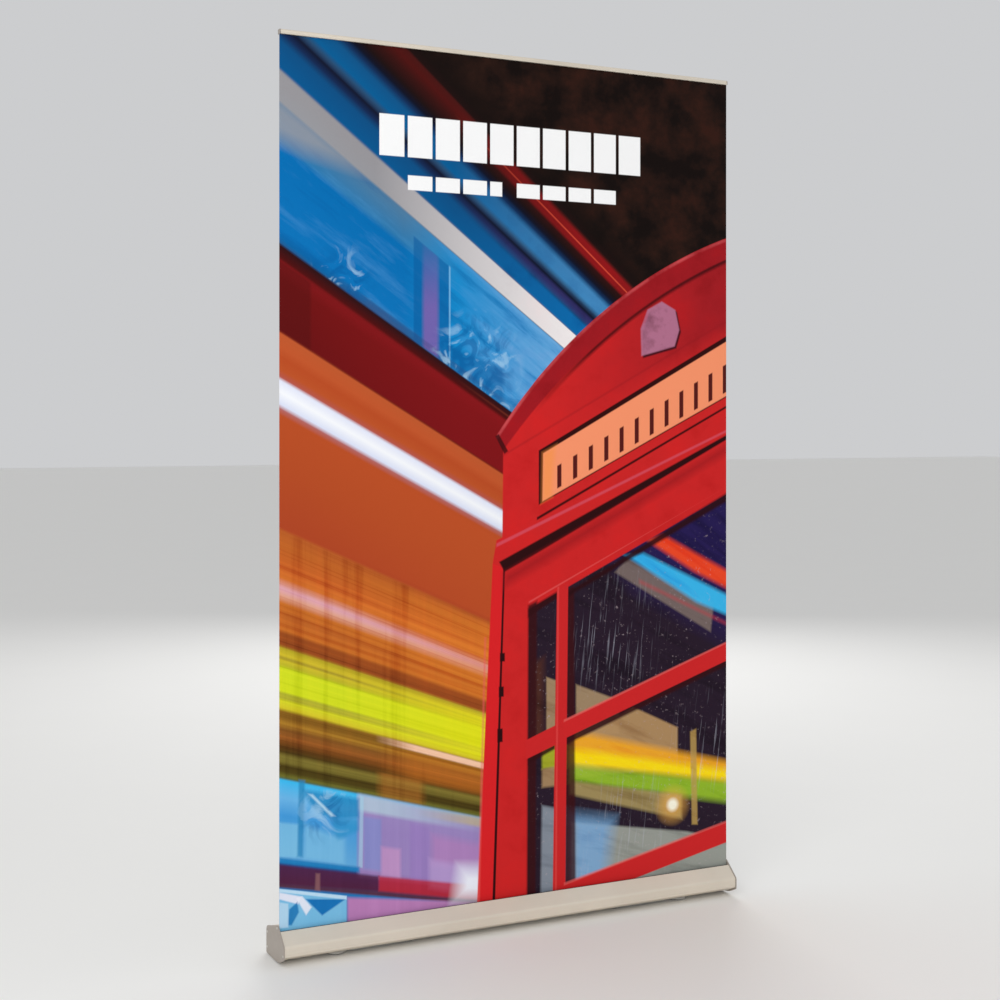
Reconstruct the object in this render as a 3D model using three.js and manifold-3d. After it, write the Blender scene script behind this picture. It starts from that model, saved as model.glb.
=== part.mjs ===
// Roll-up banner stand, 1200 x 2000 mm graphic, as one three.js group of separate named pieces.
// Millimetres, +Z up. X runs along the banner, the printed side faces -Y, and the stand rests on Z = 0.
import * as THREE from 'three';
import { mergeVertices } from 'three/addons/utils/BufferGeometryUtils.js';
import Module from 'manifold-3d';

const wasm = await Module();
wasm.setup();

// ---------------------------------------------------------------- driving dimensions
const GAP = 0.3;                   // clearance between pieces that touch

const GRAPHIC_WIDTH = 1200;
const GRAPHIC_HEIGHT = 2000;       // printed height that shows, from the slot lip to the rail
const GRAPHIC_THICKNESS = 0.4;
const GRAPHIC_TUCK = 6;            // top edge held inside the rail

const NOSE_AHEAD = 41;             // graphic plane to the front of the end caps
const TAIL_BEHIND = 83;            // graphic plane to the back of the end caps
const APEX_BEHIND = 2.5;           // graphic plane to the highest corner of the end caps
const APEX_HEIGHT = 85.5;
const TAIL_HEIGHT = 62.6;          // where the top slope meets the back face
const NOSE_TOP = 48;               // where the front slope meets the nose
const NOSE_BOTTOM = 20;            // where the nose meets the chin
const CHIN_AHEAD = 11.5;           // graphic plane to the bend of the chin
const CHIN_HEIGHT = 6.2;
const KEEL_BEHIND = 18;            // graphic plane to the start of the flat underside
const SHELL_INSET = 1.2;           // how far the extrusion sits inside the end cap outline
const SHELL_WALL = 2;
const SHELL_UNDERSIDE = 9;         // floor to the flat bottom of the extrusion
const SHELL_CHIN = 4.5;            // how much higher the extrusion's chin starts than the cap's
const LIP_AHEAD = 8;               // graphic plane to the front lip of the slot
const LIP_FLANGE = 8;              // depth of the rolled flanges on both sides of the slot
const GROOVE_RISE = 8;             // nose's lower corner to the groove that runs along the nose
const GROOVE_WIDTH = 2.4;
const GROOVE_DEPTH = 0.8;
const SIDE_CLEARANCE = 0.4;        // graphic edge to the end of the extrusion

const CAP_PLATE = 2.5;
const CAP_TOE = 12;                // length of the toe that reaches under the extrusion
const TOE_INSET = 4;               // back of the end cap to the back of its toe
const PAD_THICKNESS = 1.5;
const PAD_LENGTH = 22;
const PAD_WIDTH = 9;
const PAD_CORNER = 3;              // corner radius, and margin to the ends of the toe
const SCREW_SHANK = 1.3;
const SCREW_HEAD = 2.9;
const SCREW_LENGTH = 16;
const PORT_RADIUS = 3;             // boss around each screw port inside the extrusion
const PORT_RISE = 7;               // nose's lower corner, or the underside, to a low screw port
const PORT_DROP = 12.6;            // back edge of the top slope to the port below it
const PORT_SINK = 0.5;             // how far the back ports sink into the back wall
const SLOT_PORT_BEHIND = 1.3;      // slot's back wall to the port behind it
const SLOT_PORT_DROP = 6.2;

const ROLLER_RADIUS = 12.5;
const ROLLER_WALL = 1.2;
const ROLLER_HEIGHT = 37.5;        // floor to the roller axis
const COIL_THICKNESS = 0.8;        // leader left on the roller when the banner is up
const ROLLER_PLUG = 24;            // length of each end plug
const PIN_FLANGE = 2.1;            // flange of the shaft and pin against each end cap
const PIN_FLANGE_RIM = 3;          // flange radius beyond the shaft
const PIN_SETBACK = 4;             // inner face of the right plug to the pin's own end
const IDLER_RADIUS = 4;
const SHAFT_RADIUS = 5;
const SHAFT_LENGTH = 270;
const SPRING_RADIUS = 8;
const SPRING_WIRE = 0.8;
const SPRING_TURNS = 16;
const SPRING_ROOM = 3;             // free length at both ends of the spring
const DRIVER_SETBACK = 2;          // end of the shaft to the spring's driver

const BRUSH_DROP = 1.5;            // slot lip to the top of the brush
const BRUSH_HEIGHT = 4;            // where the bristles are held
const BRUSH_TIP = 1.2;             // where they meet the graphic
const FELT_BELOW = 4;              // felt strip, below and above the slot lip
const FELT_ABOVE = 5;
const STRIP_INSET = 1;             // end of the extrusion to the end of brush and felt

const POLE_BEHIND = 24;            // graphic plane to the pole axis
const POLE_RADIUS = 11;            // lower tube; each tube above fits inside the one below
const POLE_WALL = 1.2;
const POLE_LAP = 90;               // overlap of neighbouring tubes when the banner is up
const SOCKET_WALL = 1.7;
const SOCKET_FLANGE = 5;           // flange width beyond the socket wall
const SOCKET_FLANGE_THICKNESS = 2;
const SOCKET_FLOOR = 1.5;
const SOCKET_RIM = 1;              // how far the socket stands above its flange
const FOOT_PLUG_FLANGE = 1.5;
const FOOT_PLUG_LENGTH = 12;       // part inside the tube
const COLLAR_HEIGHT = 44;
const COLLAR_WALL = 3.4;
const COLLAR_BELOW = 0.55;         // share of the collar below the top of its tube
const COLLAR_CHAMFER = 0.8;
const COLLAR_CONE_HEIGHT = 7;
const COLLAR_CONE_DEPTH = 2.6;
const COLLAR_GRIPS = 10;           // scallops around each collar
const GRIP_RADIUS = 1.5;
const GRIP_BEYOND = 0.6;           // collar surface out to a scallop's centre
const GRIP_FOOT = 5;               // plain height under and over the scallops
const GRIP_HEAD = 10;
const CAM_LENGTH = 16;             // lock cam inside and below each sliding tube

const RAIL_HEIGHT = 11;
const RAIL_WALL = 1.6;
const RAIL_FRONT = 5.2;            // graphic plane to the front of the rail
const RAIL_CHANNEL = 5;            // clear width of the channel that the hook goes up into
const RAIL_BACK_LIFT = 4;          // how much higher the back wall of the channel ends
const RAIL_PLUG = 1.7;
const HINGE_BEAD = 1.2;
const NECK_BACK = 1.6;             // from the bead's axis to the undercut that joins it to the rail
const NECK_FRONT = 0.5;
const NECK_HEEL = 0.9;
const NECK_HEEL_RISE = 0.2;
const GRIP_STRIP_DEPTH = 0.9;
const GRIP_STRIP_RISE = 0.5;       // rail's lower edge to the strip
const GRIP_STRIP_HEIGHT = 5;
const GRIP_STRIP_INSET = 2;
const JAW_LIP = 0.7;               // how far the jaw's lip stands ahead of the jaw
const JAW_LIP_TOP = 3.4;
const JAW_LIP_FADE = 4.2;
const JAW_HEEL = 2;                // height of the edge that presses on the graphic
const JAW_THICKNESS = 1.4;
const JAW_INNER_TOP = 2.6;
const JAW_WRAP = [118, 250];       // degrees around the bead where the jaw's knuckle starts and ends
const RAIL_PLUG_NOTCH = 1.5;       // clearance above the graphic in the end plug
const RAIL_PLUG_BROW = 3;
const HOOK_WIDTH = 22;
const HOOK_SEAT = 9;               // rail's lower edge down to the top of the upper tube
const HOOK_SPIGOT = 24;            // part inside the tube
const HOOK_RIM = 1;                // how far the hook's head stands beyond the tube
const HOOK_CREST = 2;              // how far the head rises over the arm
const ARM_DROP = 2;                // rail's lower edge to the top of the arm
const ARM_THICKNESS = 4.4;
const FINGER_PLAY = 0.6;           // extra room on both sides of the finger in the channel
const FINGER_ROOM = 1;             // room above the finger

const FOOT_INSET = 140;            // graphic edge to the foot pivot
const FOOT_BEHIND = 22;            // graphic plane to the foot pivot
const FOOT_HUB = 26;
const FOOT_BAR = 32;               // width of the bar where it leaves the hub
const FOOT_REACH = 200;            // pivot to the tip
const FOOT_TIP = 14;
const FOOT_THICKNESS = 5.4;
const HUB_NECK = 52;               // degrees from the bar's axis to where the hub's rim starts
const BAR_START = 4;               // hub's rim to where the bar starts
const BAR_FILLET = 8;
const TIP_PAD_MARGIN = 4;          // foot's edge to the pad's edge, at the tip
const TIP_PAD_SETBACK = 3;
const BOLT_RADIUS = 4;
const BOLT_HEAD = 8;
const BOLT_HEAD_DEPTH = 2.4;       // underside of the foot up to the seat of the head
const BOLT_GRIP = 9;               // length of the bolt inside the nut plate
const NUT_PLATE_LENGTH = 32;
const NUT_PLATE_WIDTH = 26;
const NUT_PLATE_THICKNESS = 10;
const NUT_PLATE_CORNER = 3;
const HUB_PAD_INNER = 11;          // rubber ring under each hub
const HUB_PAD_OUTER = 22;
const WASHER_THICKNESS = 0.8;
const WASHER_SHARE = 0.6;          // washer radius as a share of the hub's

// ---------------------------------------------------------------- derived places
const planeY = (NOSE_AHEAD - TAIL_BEHIND) / 2;       // graphic plane, with the base centred on Y = 0
const shellEnd = GRAPHIC_WIDTH / 2 + SIDE_CLEARANCE;
const capInner = shellEnd + GAP;
const capBottom = PAD_THICKNESS + GAP;
const frontSlope = (APEX_HEIGHT - NOSE_TOP) / (NOSE_AHEAD + APEX_BEHIND);
const topSlope = (APEX_HEIGHT - TAIL_HEIGHT) / (TAIL_BEHIND - APEX_BEHIND);
const slopeInset = SHELL_INSET * Math.hypot(1, frontSlope);
const lipHeight = APEX_HEIGHT - frontSlope * (APEX_BEHIND + LIP_AHEAD) - slopeInset;
const railBottom = lipHeight + GRAPHIC_HEIGHT;
const railTop = railBottom + RAIL_HEIGHT;
const coilRadius = ROLLER_RADIUS + GAP + COIL_THICKNESS;
const rollerY = -(coilRadius + GAP + GRAPHIC_THICKNESS / 2);   // from the graphic plane

// ---------------------------------------------------------------- materials
const finish = (color, metalness, roughness) => (
  new THREE.MeshStandardMaterial({ color, metalness, roughness }));
const anodised = () => finish(0xcfc9bb, 0.85, 0.38);
const capPaint = () => finish(0xb7b1a4, 0.35, 0.45);
const zinc = () => finish(0xc4c6c8, 0.9, 0.35);
const blackPlastic = () => finish(0x1c1c1e, 0, 0.5);
const rubber = () => finish(0x161616, 0, 0.85);
const nylon = () => finish(0xe6e3da, 0, 0.45);
const print = () => finish(0xb2452e, 0, 0.5);
const felt = () => finish(0x3a3a3c, 0, 0.95);

// ---------------------------------------------------------------- geometry helpers
const group = new THREE.Group();

function place(name, geometry, material, x = 0, y = 0, z = 0) {
  const mesh = new THREE.Mesh(geometry, material);
  mesh.name = name;
  mesh.position.set(x, y, z);
  group.add(mesh);
  return mesh;
}

// Rounds each corner [u, v, radius] of an outline with an arc, about 12 degrees to a step.
function rounded(corners, closed = true) {
  const points = [];
  corners.forEach(([u, v, radius = 0], i) => {
    const here = new THREE.Vector2(u, v);
    const isEnd = !closed && (i === 0 || i === corners.length - 1);
    if (!radius || isEnd) {
      points.push(here);
      return;
    }
    const before = corners[(i + corners.length - 1) % corners.length];
    const after = corners[(i + 1) % corners.length];
    const back = new THREE.Vector2(before[0], before[1]).sub(here);
    const ahead = new THREE.Vector2(after[0], after[1]).sub(here);
    const room = 0.48 * Math.min(back.length(), ahead.length());
    back.normalize();
    ahead.normalize();
    const half = Math.acos(THREE.MathUtils.clamp(back.dot(ahead), -1, 1)) / 2;
    const tangent = Math.min(radius / Math.tan(half), room);
    const bend = tangent * Math.tan(half);
    const centre = back.clone().add(ahead).normalize().multiplyScalar(bend / Math.sin(half)).add(here);
    const start = back.multiplyScalar(tangent).add(here).sub(centre);
    const turn = Math.PI - 2 * half;
    const side = Math.sign(start.cross(ahead.multiplyScalar(tangent).add(here).sub(centre)));
    const steps = Math.max(1, Math.ceil(turn / THREE.MathUtils.degToRad(12)));
    for (let k = 0; k <= steps; k += 1) {
      points.push(start.clone().rotateAround(new THREE.Vector2(), side * turn * k / steps).add(centre));
    }
  });
  return points;
}

// Moves an open path of corners sideways by a distance, to its left, and keeps its arcs concentric.
function offsetPath(corners, distance) {
  const normal = (a, b) => new THREE.Vector2(a[1] - b[1], b[0] - a[0]).normalize();
  return corners.map((corner, i) => {
    const before = i > 0 ? normal(corners[i - 1], corner) : normal(corner, corners[1]);
    const after = i < corners.length - 1 ? normal(corner, corners[i + 1]) : before;
    const mitre = before.clone().add(after);
    mitre.multiplyScalar(2 * distance / mitre.lengthSq());
    return [corner[0] + mitre.x, corner[1] + mitre.y, Math.max((corner[2] || 0) - distance, 0.4)];
  });
}

const circle = (radius, segments, u = 0, v = 0) => Array.from({ length: segments }, (_, i) => {
  const angle = 2 * Math.PI * i / segments;
  return new THREE.Vector2(u + radius * Math.cos(angle), v + radius * Math.sin(angle));
});

function extrude(points, depth, holes = []) {
  const shape = new THREE.Shape(points);
  shape.holes = holes.map((hole) => new THREE.Path(hole));
  return new THREE.ExtrudeGeometry(shape, { depth, bevelEnabled: false });
}

// Outline (y, z) carried along X from x0 to x1.
const alongX = new THREE.Matrix4().makeBasis(
  new THREE.Vector3(0, 1, 0), new THREE.Vector3(0, 0, 1), new THREE.Vector3(1, 0, 0));
const extrudeX = (points, x0, x1, holes) => extrude(points, x1 - x0, holes)
  .applyMatrix4(alongX).translate(x0, 0, 0);
const box = (x0, x1, y0, y1, z0, z1) => new THREE.BoxGeometry(x1 - x0, y1 - y0, z1 - z0)
  .translate((x0 + x1) / 2, (y0 + y1) / 2, (z0 + z1) / 2);

// Profile of [radius, height] pairs turned around Z; a bored one closes on itself.
function turned(profile, segments = 32) {
  const closed = profile[0][0] > 0 ? [...profile, profile[0]] : profile;
  const outline = closed.map(([r, h]) => new THREE.Vector2(r, h));
  return new THREE.LatheGeometry(outline, segments).rotateX(Math.PI / 2);
}
const turnedX = (profile, segments) => turned(profile, segments).rotateY(Math.PI / 2);
const cylinderZ = (radius, z0, z1, segments = 32) => turned(
  [[0, z0], [radius, z0], [radius, z1], [0, z1]], segments);
const tube = (inner, outer, z0, z1, segments = 32) => turned(
  [[inner, z0], [outer, z0], [outer, z1], [inner, z1]], segments);

function solid(geometry) {
  const bare = geometry.index ? geometry.toNonIndexed() : geometry.clone();
  bare.deleteAttribute('normal');
  bare.deleteAttribute('uv');
  const merged = mergeVertices(bare, 1e-4);
  const corners = Array.from(merged.index.array);
  const triangles = [];
  for (let i = 0; i < corners.length; i += 3) {
    const [a, b, c] = corners.slice(i, i + 3);
    if (a !== b && b !== c && a !== c) triangles.push(a, b, c);
  }
  return new wasm.Manifold(new wasm.Mesh({
    numProp: 3,
    vertProperties: Float32Array.from(merged.attributes.position.array),
    triVerts: Uint32Array.from(triangles),
  }));
}

function combine(base, { add = [], cut = [] }) {
  let body = solid(base);
  add.forEach((piece) => { body = body.add(solid(piece)); });
  cut.forEach((piece) => { body = body.subtract(solid(piece)); });
  const mesh = body.getMesh();
  const geometry = new THREE.BufferGeometry();
  geometry.setAttribute('position', new THREE.BufferAttribute(Float32Array.from(mesh.vertProperties), 3));
  geometry.setIndex(Array.from(mesh.triVerts));
  return geometry.toNonIndexed();
}

const ends = [['left', -1], ['right', 1]];

// ---------------------------------------------------------------- base: extrusion and end caps
// Both outlines are (y from the graphic plane, z from the floor).
const capOutline = rounded([
  [APEX_BEHIND, APEX_HEIGHT, 2.5],
  [-NOSE_AHEAD, NOSE_TOP, 10],
  [-NOSE_AHEAD, NOSE_BOTTOM, 6],
  [-CHIN_AHEAD, CHIN_HEIGHT, 60],
  [KEEL_BEHIND, capBottom, 40],
  [TAIL_BEHIND, capBottom, 3],
  [TAIL_BEHIND, TAIL_HEIGHT, 14],
]);

const slotBack = APEX_BEHIND + SHELL_INSET;
const shellTop = (y) => APEX_HEIGHT - topSlope * (y - APEX_BEHIND) - SHELL_INSET * Math.hypot(1, topSlope);
const shellNose = -NOSE_AHEAD + SHELL_INSET;
const shellTail = TAIL_BEHIND - SHELL_INSET;
const shellPath = [
  [-LIP_AHEAD, lipHeight - LIP_FLANGE],
  [-LIP_AHEAD, lipHeight, 1],
  [shellNose, lipHeight - frontSlope * (-LIP_AHEAD - shellNose), 9],
  [shellNose, NOSE_BOTTOM + SHELL_CHIN, 5],
  [-CHIN_AHEAD + SHELL_CHIN, SHELL_UNDERSIDE, 24],
  [shellTail, SHELL_UNDERSIDE, 3],
  [shellTail, shellTop(shellTail), 13],
  [slotBack, shellTop(slotBack), 1.5],
  [slotBack, lipHeight - LIP_FLANGE],
];
const shellOuter = rounded(shellPath, false);
const shellInner = rounded(offsetPath(shellPath, SHELL_WALL), false).reverse();

// Screw ports run the length of the extrusion, clear of the roller and of the pole socket.
const screwPorts = [
  [shellNose + SHELL_WALL + PORT_RADIUS, NOSE_BOTTOM + PORT_RISE],
  [shellTail - SHELL_WALL - PORT_RADIUS + PORT_SINK, SHELL_UNDERSIDE + PORT_RISE],
  [shellTail - SHELL_WALL - PORT_RADIUS + PORT_SINK, TAIL_HEIGHT - PORT_DROP],
  [slotBack + SHELL_WALL + SLOT_PORT_BEHIND, shellTop(slotBack) - SLOT_PORT_DROP],
];
const socketBore = POLE_RADIUS + GAP;
const socketOuter = socketBore + SOCKET_WALL;
const footPivots = ends.map(([, side]) => side * (GRAPHIC_WIDTH / 2 - FOOT_INSET));
const portBosses = screwPorts.map(([y, z]) => extrudeX(circle(PORT_RADIUS, 20, y, z), -shellEnd, shellEnd));
const portHoles = screwPorts.map(([y, z]) => extrudeX(circle(SCREW_SHANK + GAP, 12, y, z),
  -shellEnd - 1, shellEnd + 1));
const grooveBottom = NOSE_BOTTOM + GROOVE_RISE;
const noseGroove = extrudeX([
  new THREE.Vector2(shellNose - 1, grooveBottom + GROOVE_WIDTH),
  new THREE.Vector2(shellNose - 1, grooveBottom),
  new THREE.Vector2(shellNose + GROOVE_DEPTH, grooveBottom + GROOVE_WIDTH / 2),
], -shellEnd - 1, shellEnd + 1);
const baseShell = combine(extrudeX([...shellOuter, ...shellInner], -shellEnd, shellEnd), {
  add: portBosses,
  cut: [
    ...portHoles,
    noseGroove,
    cylinderZ(socketOuter + GAP, TAIL_HEIGHT, APEX_HEIGHT).translate(0, POLE_BEHIND, 0),
    ...footPivots.map((x) => cylinderZ(BOLT_RADIUS + 2 * GAP, 0, SHELL_UNDERSIDE + SHELL_WALL + 1, 24)
      .translate(x, FOOT_BEHIND, 0)),
  ],
});
place('base_shell', baseShell, anodised(), 0, planeY, 0);

// An end cap is a plate, a toe under the extrusion, and a lip that locates inside the back wall.
const toeTop = SHELL_UNDERSIDE - GAP;
const toeFront = KEEL_BEHIND;
const toeBack = TAIL_BEHIND - TOE_INSET;
const countersink = SCREW_HEAD - SCREW_SHANK;
const screwProfile = [
  [0, 0], [SCREW_HEAD, 0], [SCREW_SHANK, countersink], [SCREW_SHANK, SCREW_LENGTH], [0, SCREW_LENGTH],
];
const sinkProfile = [
  [0, -1], [SCREW_HEAD + GAP, -1], [SCREW_HEAD + GAP, GAP], [SCREW_SHANK + GAP, countersink + GAP],
  [SCREW_SHANK + GAP, CAP_PLATE + 1], [0, CAP_PLATE + 1],
];
const capOuter = capInner + CAP_PLATE;
ends.forEach(([end, side]) => {
  const span = (near, far) => [Math.min(side * near, side * far), Math.max(side * near, side * far)];
  const inward = (geometry) => geometry.rotateZ(side > 0 ? Math.PI : 0);   // drawn for the left end
  place(`end_cap_${end}`, combine(extrudeX(capOutline, ...span(capInner, capOuter)), {
    add: [box(...span(capInner - CAP_TOE, capInner + 1), toeFront, toeBack, capBottom, toeTop)],
    cut: screwPorts.map(([y, z]) => inward(turnedX(sinkProfile, 20)).translate(side * capOuter, y, z)),
  }), capPaint(), 0, planeY, 0);
  screwPorts.forEach(([y, z], i) => {
    place(`cap_screw_${end}_${i + 1}`, inward(turnedX(screwProfile, 16)), zinc(),
      side * capOuter, planeY + y, z);
  });
  const padX = side * (capInner - CAP_TOE / 2);
  const padInset = PAD_LENGTH / 2 + PAD_CORNER;
  [['front', toeFront + padInset], ['rear', toeBack - padInset]].forEach(([where, y]) => {
    place(`base_pad_${end}_${where}`, extrude(rounded([
      [-PAD_WIDTH / 2, -PAD_LENGTH / 2, PAD_CORNER], [PAD_WIDTH / 2, -PAD_LENGTH / 2, PAD_CORNER],
      [PAD_WIDTH / 2, PAD_LENGTH / 2, PAD_CORNER], [-PAD_WIDTH / 2, PAD_LENGTH / 2, PAD_CORNER],
    ]), PAD_THICKNESS), rubber(), padX, planeY + y, 0);
  });
});

// ---------------------------------------------------------------- roller, spring and leader
const rollerEnd = capInner - 2 * GAP - PIN_FLANGE;
const rollerBore = ROLLER_RADIUS - ROLLER_WALL;
const plugRadius = rollerBore - GAP;
const flangeEnd = capInner - GAP;
const flangeStart = rollerEnd + GAP;
const pinFlange = SHAFT_RADIUS + PIN_FLANGE_RIM;
const plugInner = -rollerEnd + ROLLER_PLUG;
const inRoller = (name, geometry, material) => (
  place(name, geometry, material, 0, planeY + rollerY, ROLLER_HEIGHT));
const sleeveX = (inner, outer, x0, x1) => turnedX([[inner, x0], [outer, x0], [outer, x1], [inner, x1]], 32);

inRoller('roller_tube', sleeveX(rollerBore, ROLLER_RADIUS, -rollerEnd, rollerEnd), anodised());
inRoller('graphic_leader_coil',
  sleeveX(ROLLER_RADIUS + GAP, coilRadius, -GRAPHIC_WIDTH / 2, GRAPHIC_WIDTH / 2), nylon());
inRoller('roller_plug_left', sleeveX(SHAFT_RADIUS + GAP, plugRadius, -rollerEnd, plugInner), nylon());
inRoller('roller_plug_right', sleeveX(IDLER_RADIUS + GAP, plugRadius, -plugInner, rollerEnd), nylon());
inRoller('spring_shaft', turnedX([
  [0, -flangeEnd], [pinFlange, -flangeEnd], [pinFlange, -flangeStart],
  [SHAFT_RADIUS, -flangeStart], [SHAFT_RADIUS, -flangeEnd + SHAFT_LENGTH], [0, -flangeEnd + SHAFT_LENGTH],
], 24), zinc());
inRoller('idler_pin', turnedX([
  [0, -plugInner + PIN_SETBACK], [IDLER_RADIUS, -plugInner + PIN_SETBACK], [IDLER_RADIUS, flangeStart],
  [pinFlange, flangeStart], [pinFlange, flangeEnd], [0, flangeEnd],
], 24), zinc());
const driverEnd = -flangeEnd + SHAFT_LENGTH - DRIVER_SETBACK;
const driverStart = driverEnd - ROLLER_PLUG;
const springStart = plugInner + SPRING_ROOM;
const springEnd = driverStart - SPRING_ROOM;
inRoller('spring_driver', sleeveX(SHAFT_RADIUS + GAP, plugRadius, driverStart, driverEnd), nylon());

class SpringPath extends THREE.Curve {
  getPoint(t, target = new THREE.Vector3()) {
    const angle = 2 * Math.PI * SPRING_TURNS * t;
    return target.set(THREE.MathUtils.lerp(springStart, springEnd, t),
      SPRING_RADIUS * Math.cos(angle), SPRING_RADIUS * Math.sin(angle));
  }
}
inRoller('torsion_spring', new THREE.ExtrudeGeometry(new THREE.Shape(circle(SPRING_WIRE, 4)), {
  steps: SPRING_TURNS * 8, bevelEnabled: false, extrudePath: new SpringPath(),
}), zinc());

// ---------------------------------------------------------------- graphic and its slot
const halfSheet = GRAPHIC_THICKNESS / 2;
place('graphic_sheet', box(-GRAPHIC_WIDTH / 2, GRAPHIC_WIDTH / 2, -halfSheet, halfSheet,
  ROLLER_HEIGHT, railBottom + GRAPHIC_TUCK), print(), 0, planeY, 0);
const stripEnd = shellEnd - STRIP_INSET;
const brushTop = lipHeight - BRUSH_DROP;
const brushBottom = brushTop - BRUSH_HEIGHT;
const brushMiddle = (brushTop + brushBottom) / 2;
const sheetFront = -halfSheet - GAP;
place('slot_brush', extrudeX(rounded([
  [-LIP_AHEAD + GAP, brushBottom], [sheetFront, brushMiddle - BRUSH_TIP / 2],
  [sheetFront, brushMiddle + BRUSH_TIP / 2], [-LIP_AHEAD + GAP, brushTop],
]), -stripEnd, stripEnd), felt(), 0, planeY, 0);
place('slot_felt', box(-stripEnd, stripEnd, halfSheet + GAP, slotBack - GAP,
  lipHeight - FELT_BELOW, lipHeight + FELT_ABOVE), felt(), 0, planeY, 0);

// ---------------------------------------------------------------- pole socket and telescopic pole
const atPole = (name, geometry, material) => place(name, geometry, material, 0, planeY + POLE_BEHIND, 0);
const socketFoot = SHELL_UNDERSIDE + SHELL_WALL + GAP;
const socketFloor = socketFoot + SOCKET_FLOOR;
const seatHeight = shellTop(POLE_BEHIND) + GAP;
const socketTop = seatHeight + topSlope * socketOuter + SOCKET_FLANGE_THICKNESS + SOCKET_RIM;
const socketFlange = cylinderZ(socketOuter + SOCKET_FLANGE, 0, SOCKET_FLANGE_THICKNESS)
  .rotateX(-Math.atan(topSlope)).translate(0, 0, seatHeight);
atPole('pole_socket', combine(cylinderZ(socketOuter, socketFoot, socketTop), {
  add: [socketFlange],
  cut: [cylinderZ(socketBore, socketFloor, socketTop + 1)],
}), blackPlastic());

const lowerStart = socketFloor + 2 * GAP + FOOT_PLUG_FLANGE;
const hookSeat = railBottom - HOOK_SEAT;             // top of the upper tube
const stagePitch = (hookSeat - lowerStart) / 3;      // rise from one tube's top to the next
const tubeRadius = (stage) => POLE_RADIUS - stage * (POLE_WALL + GAP);
const tubeTop = (stage) => lowerStart + stagePitch * (stage + 1);
const tubeStart = (stage) => (stage === 0 ? lowerStart : tubeTop(stage - 1) - POLE_LAP);
['pole_lower', 'pole_mid', 'pole_upper'].forEach((name, stage) => {
  const radius = tubeRadius(stage);
  atPole(name, tube(radius - POLE_WALL, radius, tubeStart(stage), tubeTop(stage)), anodised());
});
const footPlugRadius = POLE_RADIUS - POLE_WALL - GAP;
const footPlugSeat = lowerStart - GAP;
const footPlugTop = lowerStart + FOOT_PLUG_LENGTH;
atPole('pole_foot_plug', turned([
  [0, footPlugSeat - FOOT_PLUG_FLANGE], [POLE_RADIUS, footPlugSeat - FOOT_PLUG_FLANGE],
  [POLE_RADIUS, footPlugSeat], [footPlugRadius, footPlugSeat],
  [footPlugRadius, footPlugTop], [0, footPlugTop],
]), blackPlastic());

// Each sliding tube carries a nylon lock cam in its foot, and the tube below it a twist collar.
[['mid', 1], ['upper', 2]].forEach(([name, stage]) => {
  const bore = tubeRadius(stage) - POLE_WALL;
  const start = tubeStart(stage);
  atPole(`pole_${name}_cam`, turned([
    [0, start - CAM_LENGTH], [tubeRadius(stage), start - CAM_LENGTH], [tubeRadius(stage), start - GAP],
    [bore - GAP, start - GAP], [bore - GAP, start + CAM_LENGTH], [0, start + CAM_LENGTH],
  ], 24), nylon());
});
[['lower', 0], ['upper', 1]].forEach(([name, stage]) => {
  const outerTube = tubeRadius(stage);
  const shoulder = tubeTop(stage);
  const bottom = shoulder - COLLAR_HEIGHT * COLLAR_BELOW;
  const top = bottom + COLLAR_HEIGHT;
  const rim = outerTube + GAP + COLLAR_WALL;
  const profile = [
    [outerTube + GAP, bottom], [rim - COLLAR_CHAMFER, bottom], [rim, bottom + COLLAR_CHAMFER],
    [rim, top - COLLAR_CONE_HEIGHT], [rim - COLLAR_CONE_DEPTH, top],
    [tubeRadius(stage + 1) + GAP, top], [tubeRadius(stage + 1) + GAP, shoulder + GAP],
    [outerTube + GAP, shoulder + GAP],
  ];
  const scallops = Array.from({ length: COLLAR_GRIPS }, (_, i) => (
    cylinderZ(GRIP_RADIUS, bottom + GRIP_FOOT, top - GRIP_HEAD, 6)
      .translate(rim + GRIP_BEYOND, 0, 0).rotateZ(2 * Math.PI * i / COLLAR_GRIPS)));
  atPole(`${name}_lock_collar`, combine(turned(profile, 30), { cut: scallops }), blackPlastic());
});

// ---------------------------------------------------------------- top rail, jaw and hook
const plateFront = halfSheet + GAP;                  // grip strip starts behind the graphic
const backWall = plateFront + GRIP_STRIP_DEPTH + GAP;
const channelFront = backWall + RAIL_WALL;
const channelBack = channelFront + RAIL_CHANNEL;
const railBack = channelBack + RAIL_WALL;
const beadY = -RAIL_FRONT / 2;
const beadZ = railTop - RAIL_WALL - HINGE_BEAD;
const railHalf = GRAPHIC_WIDTH / 2 - RAIL_PLUG - GAP;
const railBody = extrudeX(rounded([
  [backWall, railBottom, 0.3], [channelFront, railBottom, 0.3], [channelFront, railTop - RAIL_WALL],
  [channelBack, railTop - RAIL_WALL], [channelBack, railBottom + RAIL_BACK_LIFT, 0.3],
  [railBack, railBottom + RAIL_BACK_LIFT, 0.3], [railBack, railTop, 1], [beadY + NECK_BACK, railTop, 0.8],
  [beadY + NECK_FRONT, beadZ + NECK_HEEL], [beadY + NECK_HEEL, beadZ + NECK_HEEL_RISE],
  [backWall, beadZ + NECK_HEEL, 0.4],
]), -railHalf, railHalf);
place('rail_body', combine(railBody, {
  add: [extrudeX(circle(HINGE_BEAD, 16, beadY, beadZ), -railHalf, railHalf)],
}), anodised(), 0, planeY, 0);

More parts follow.
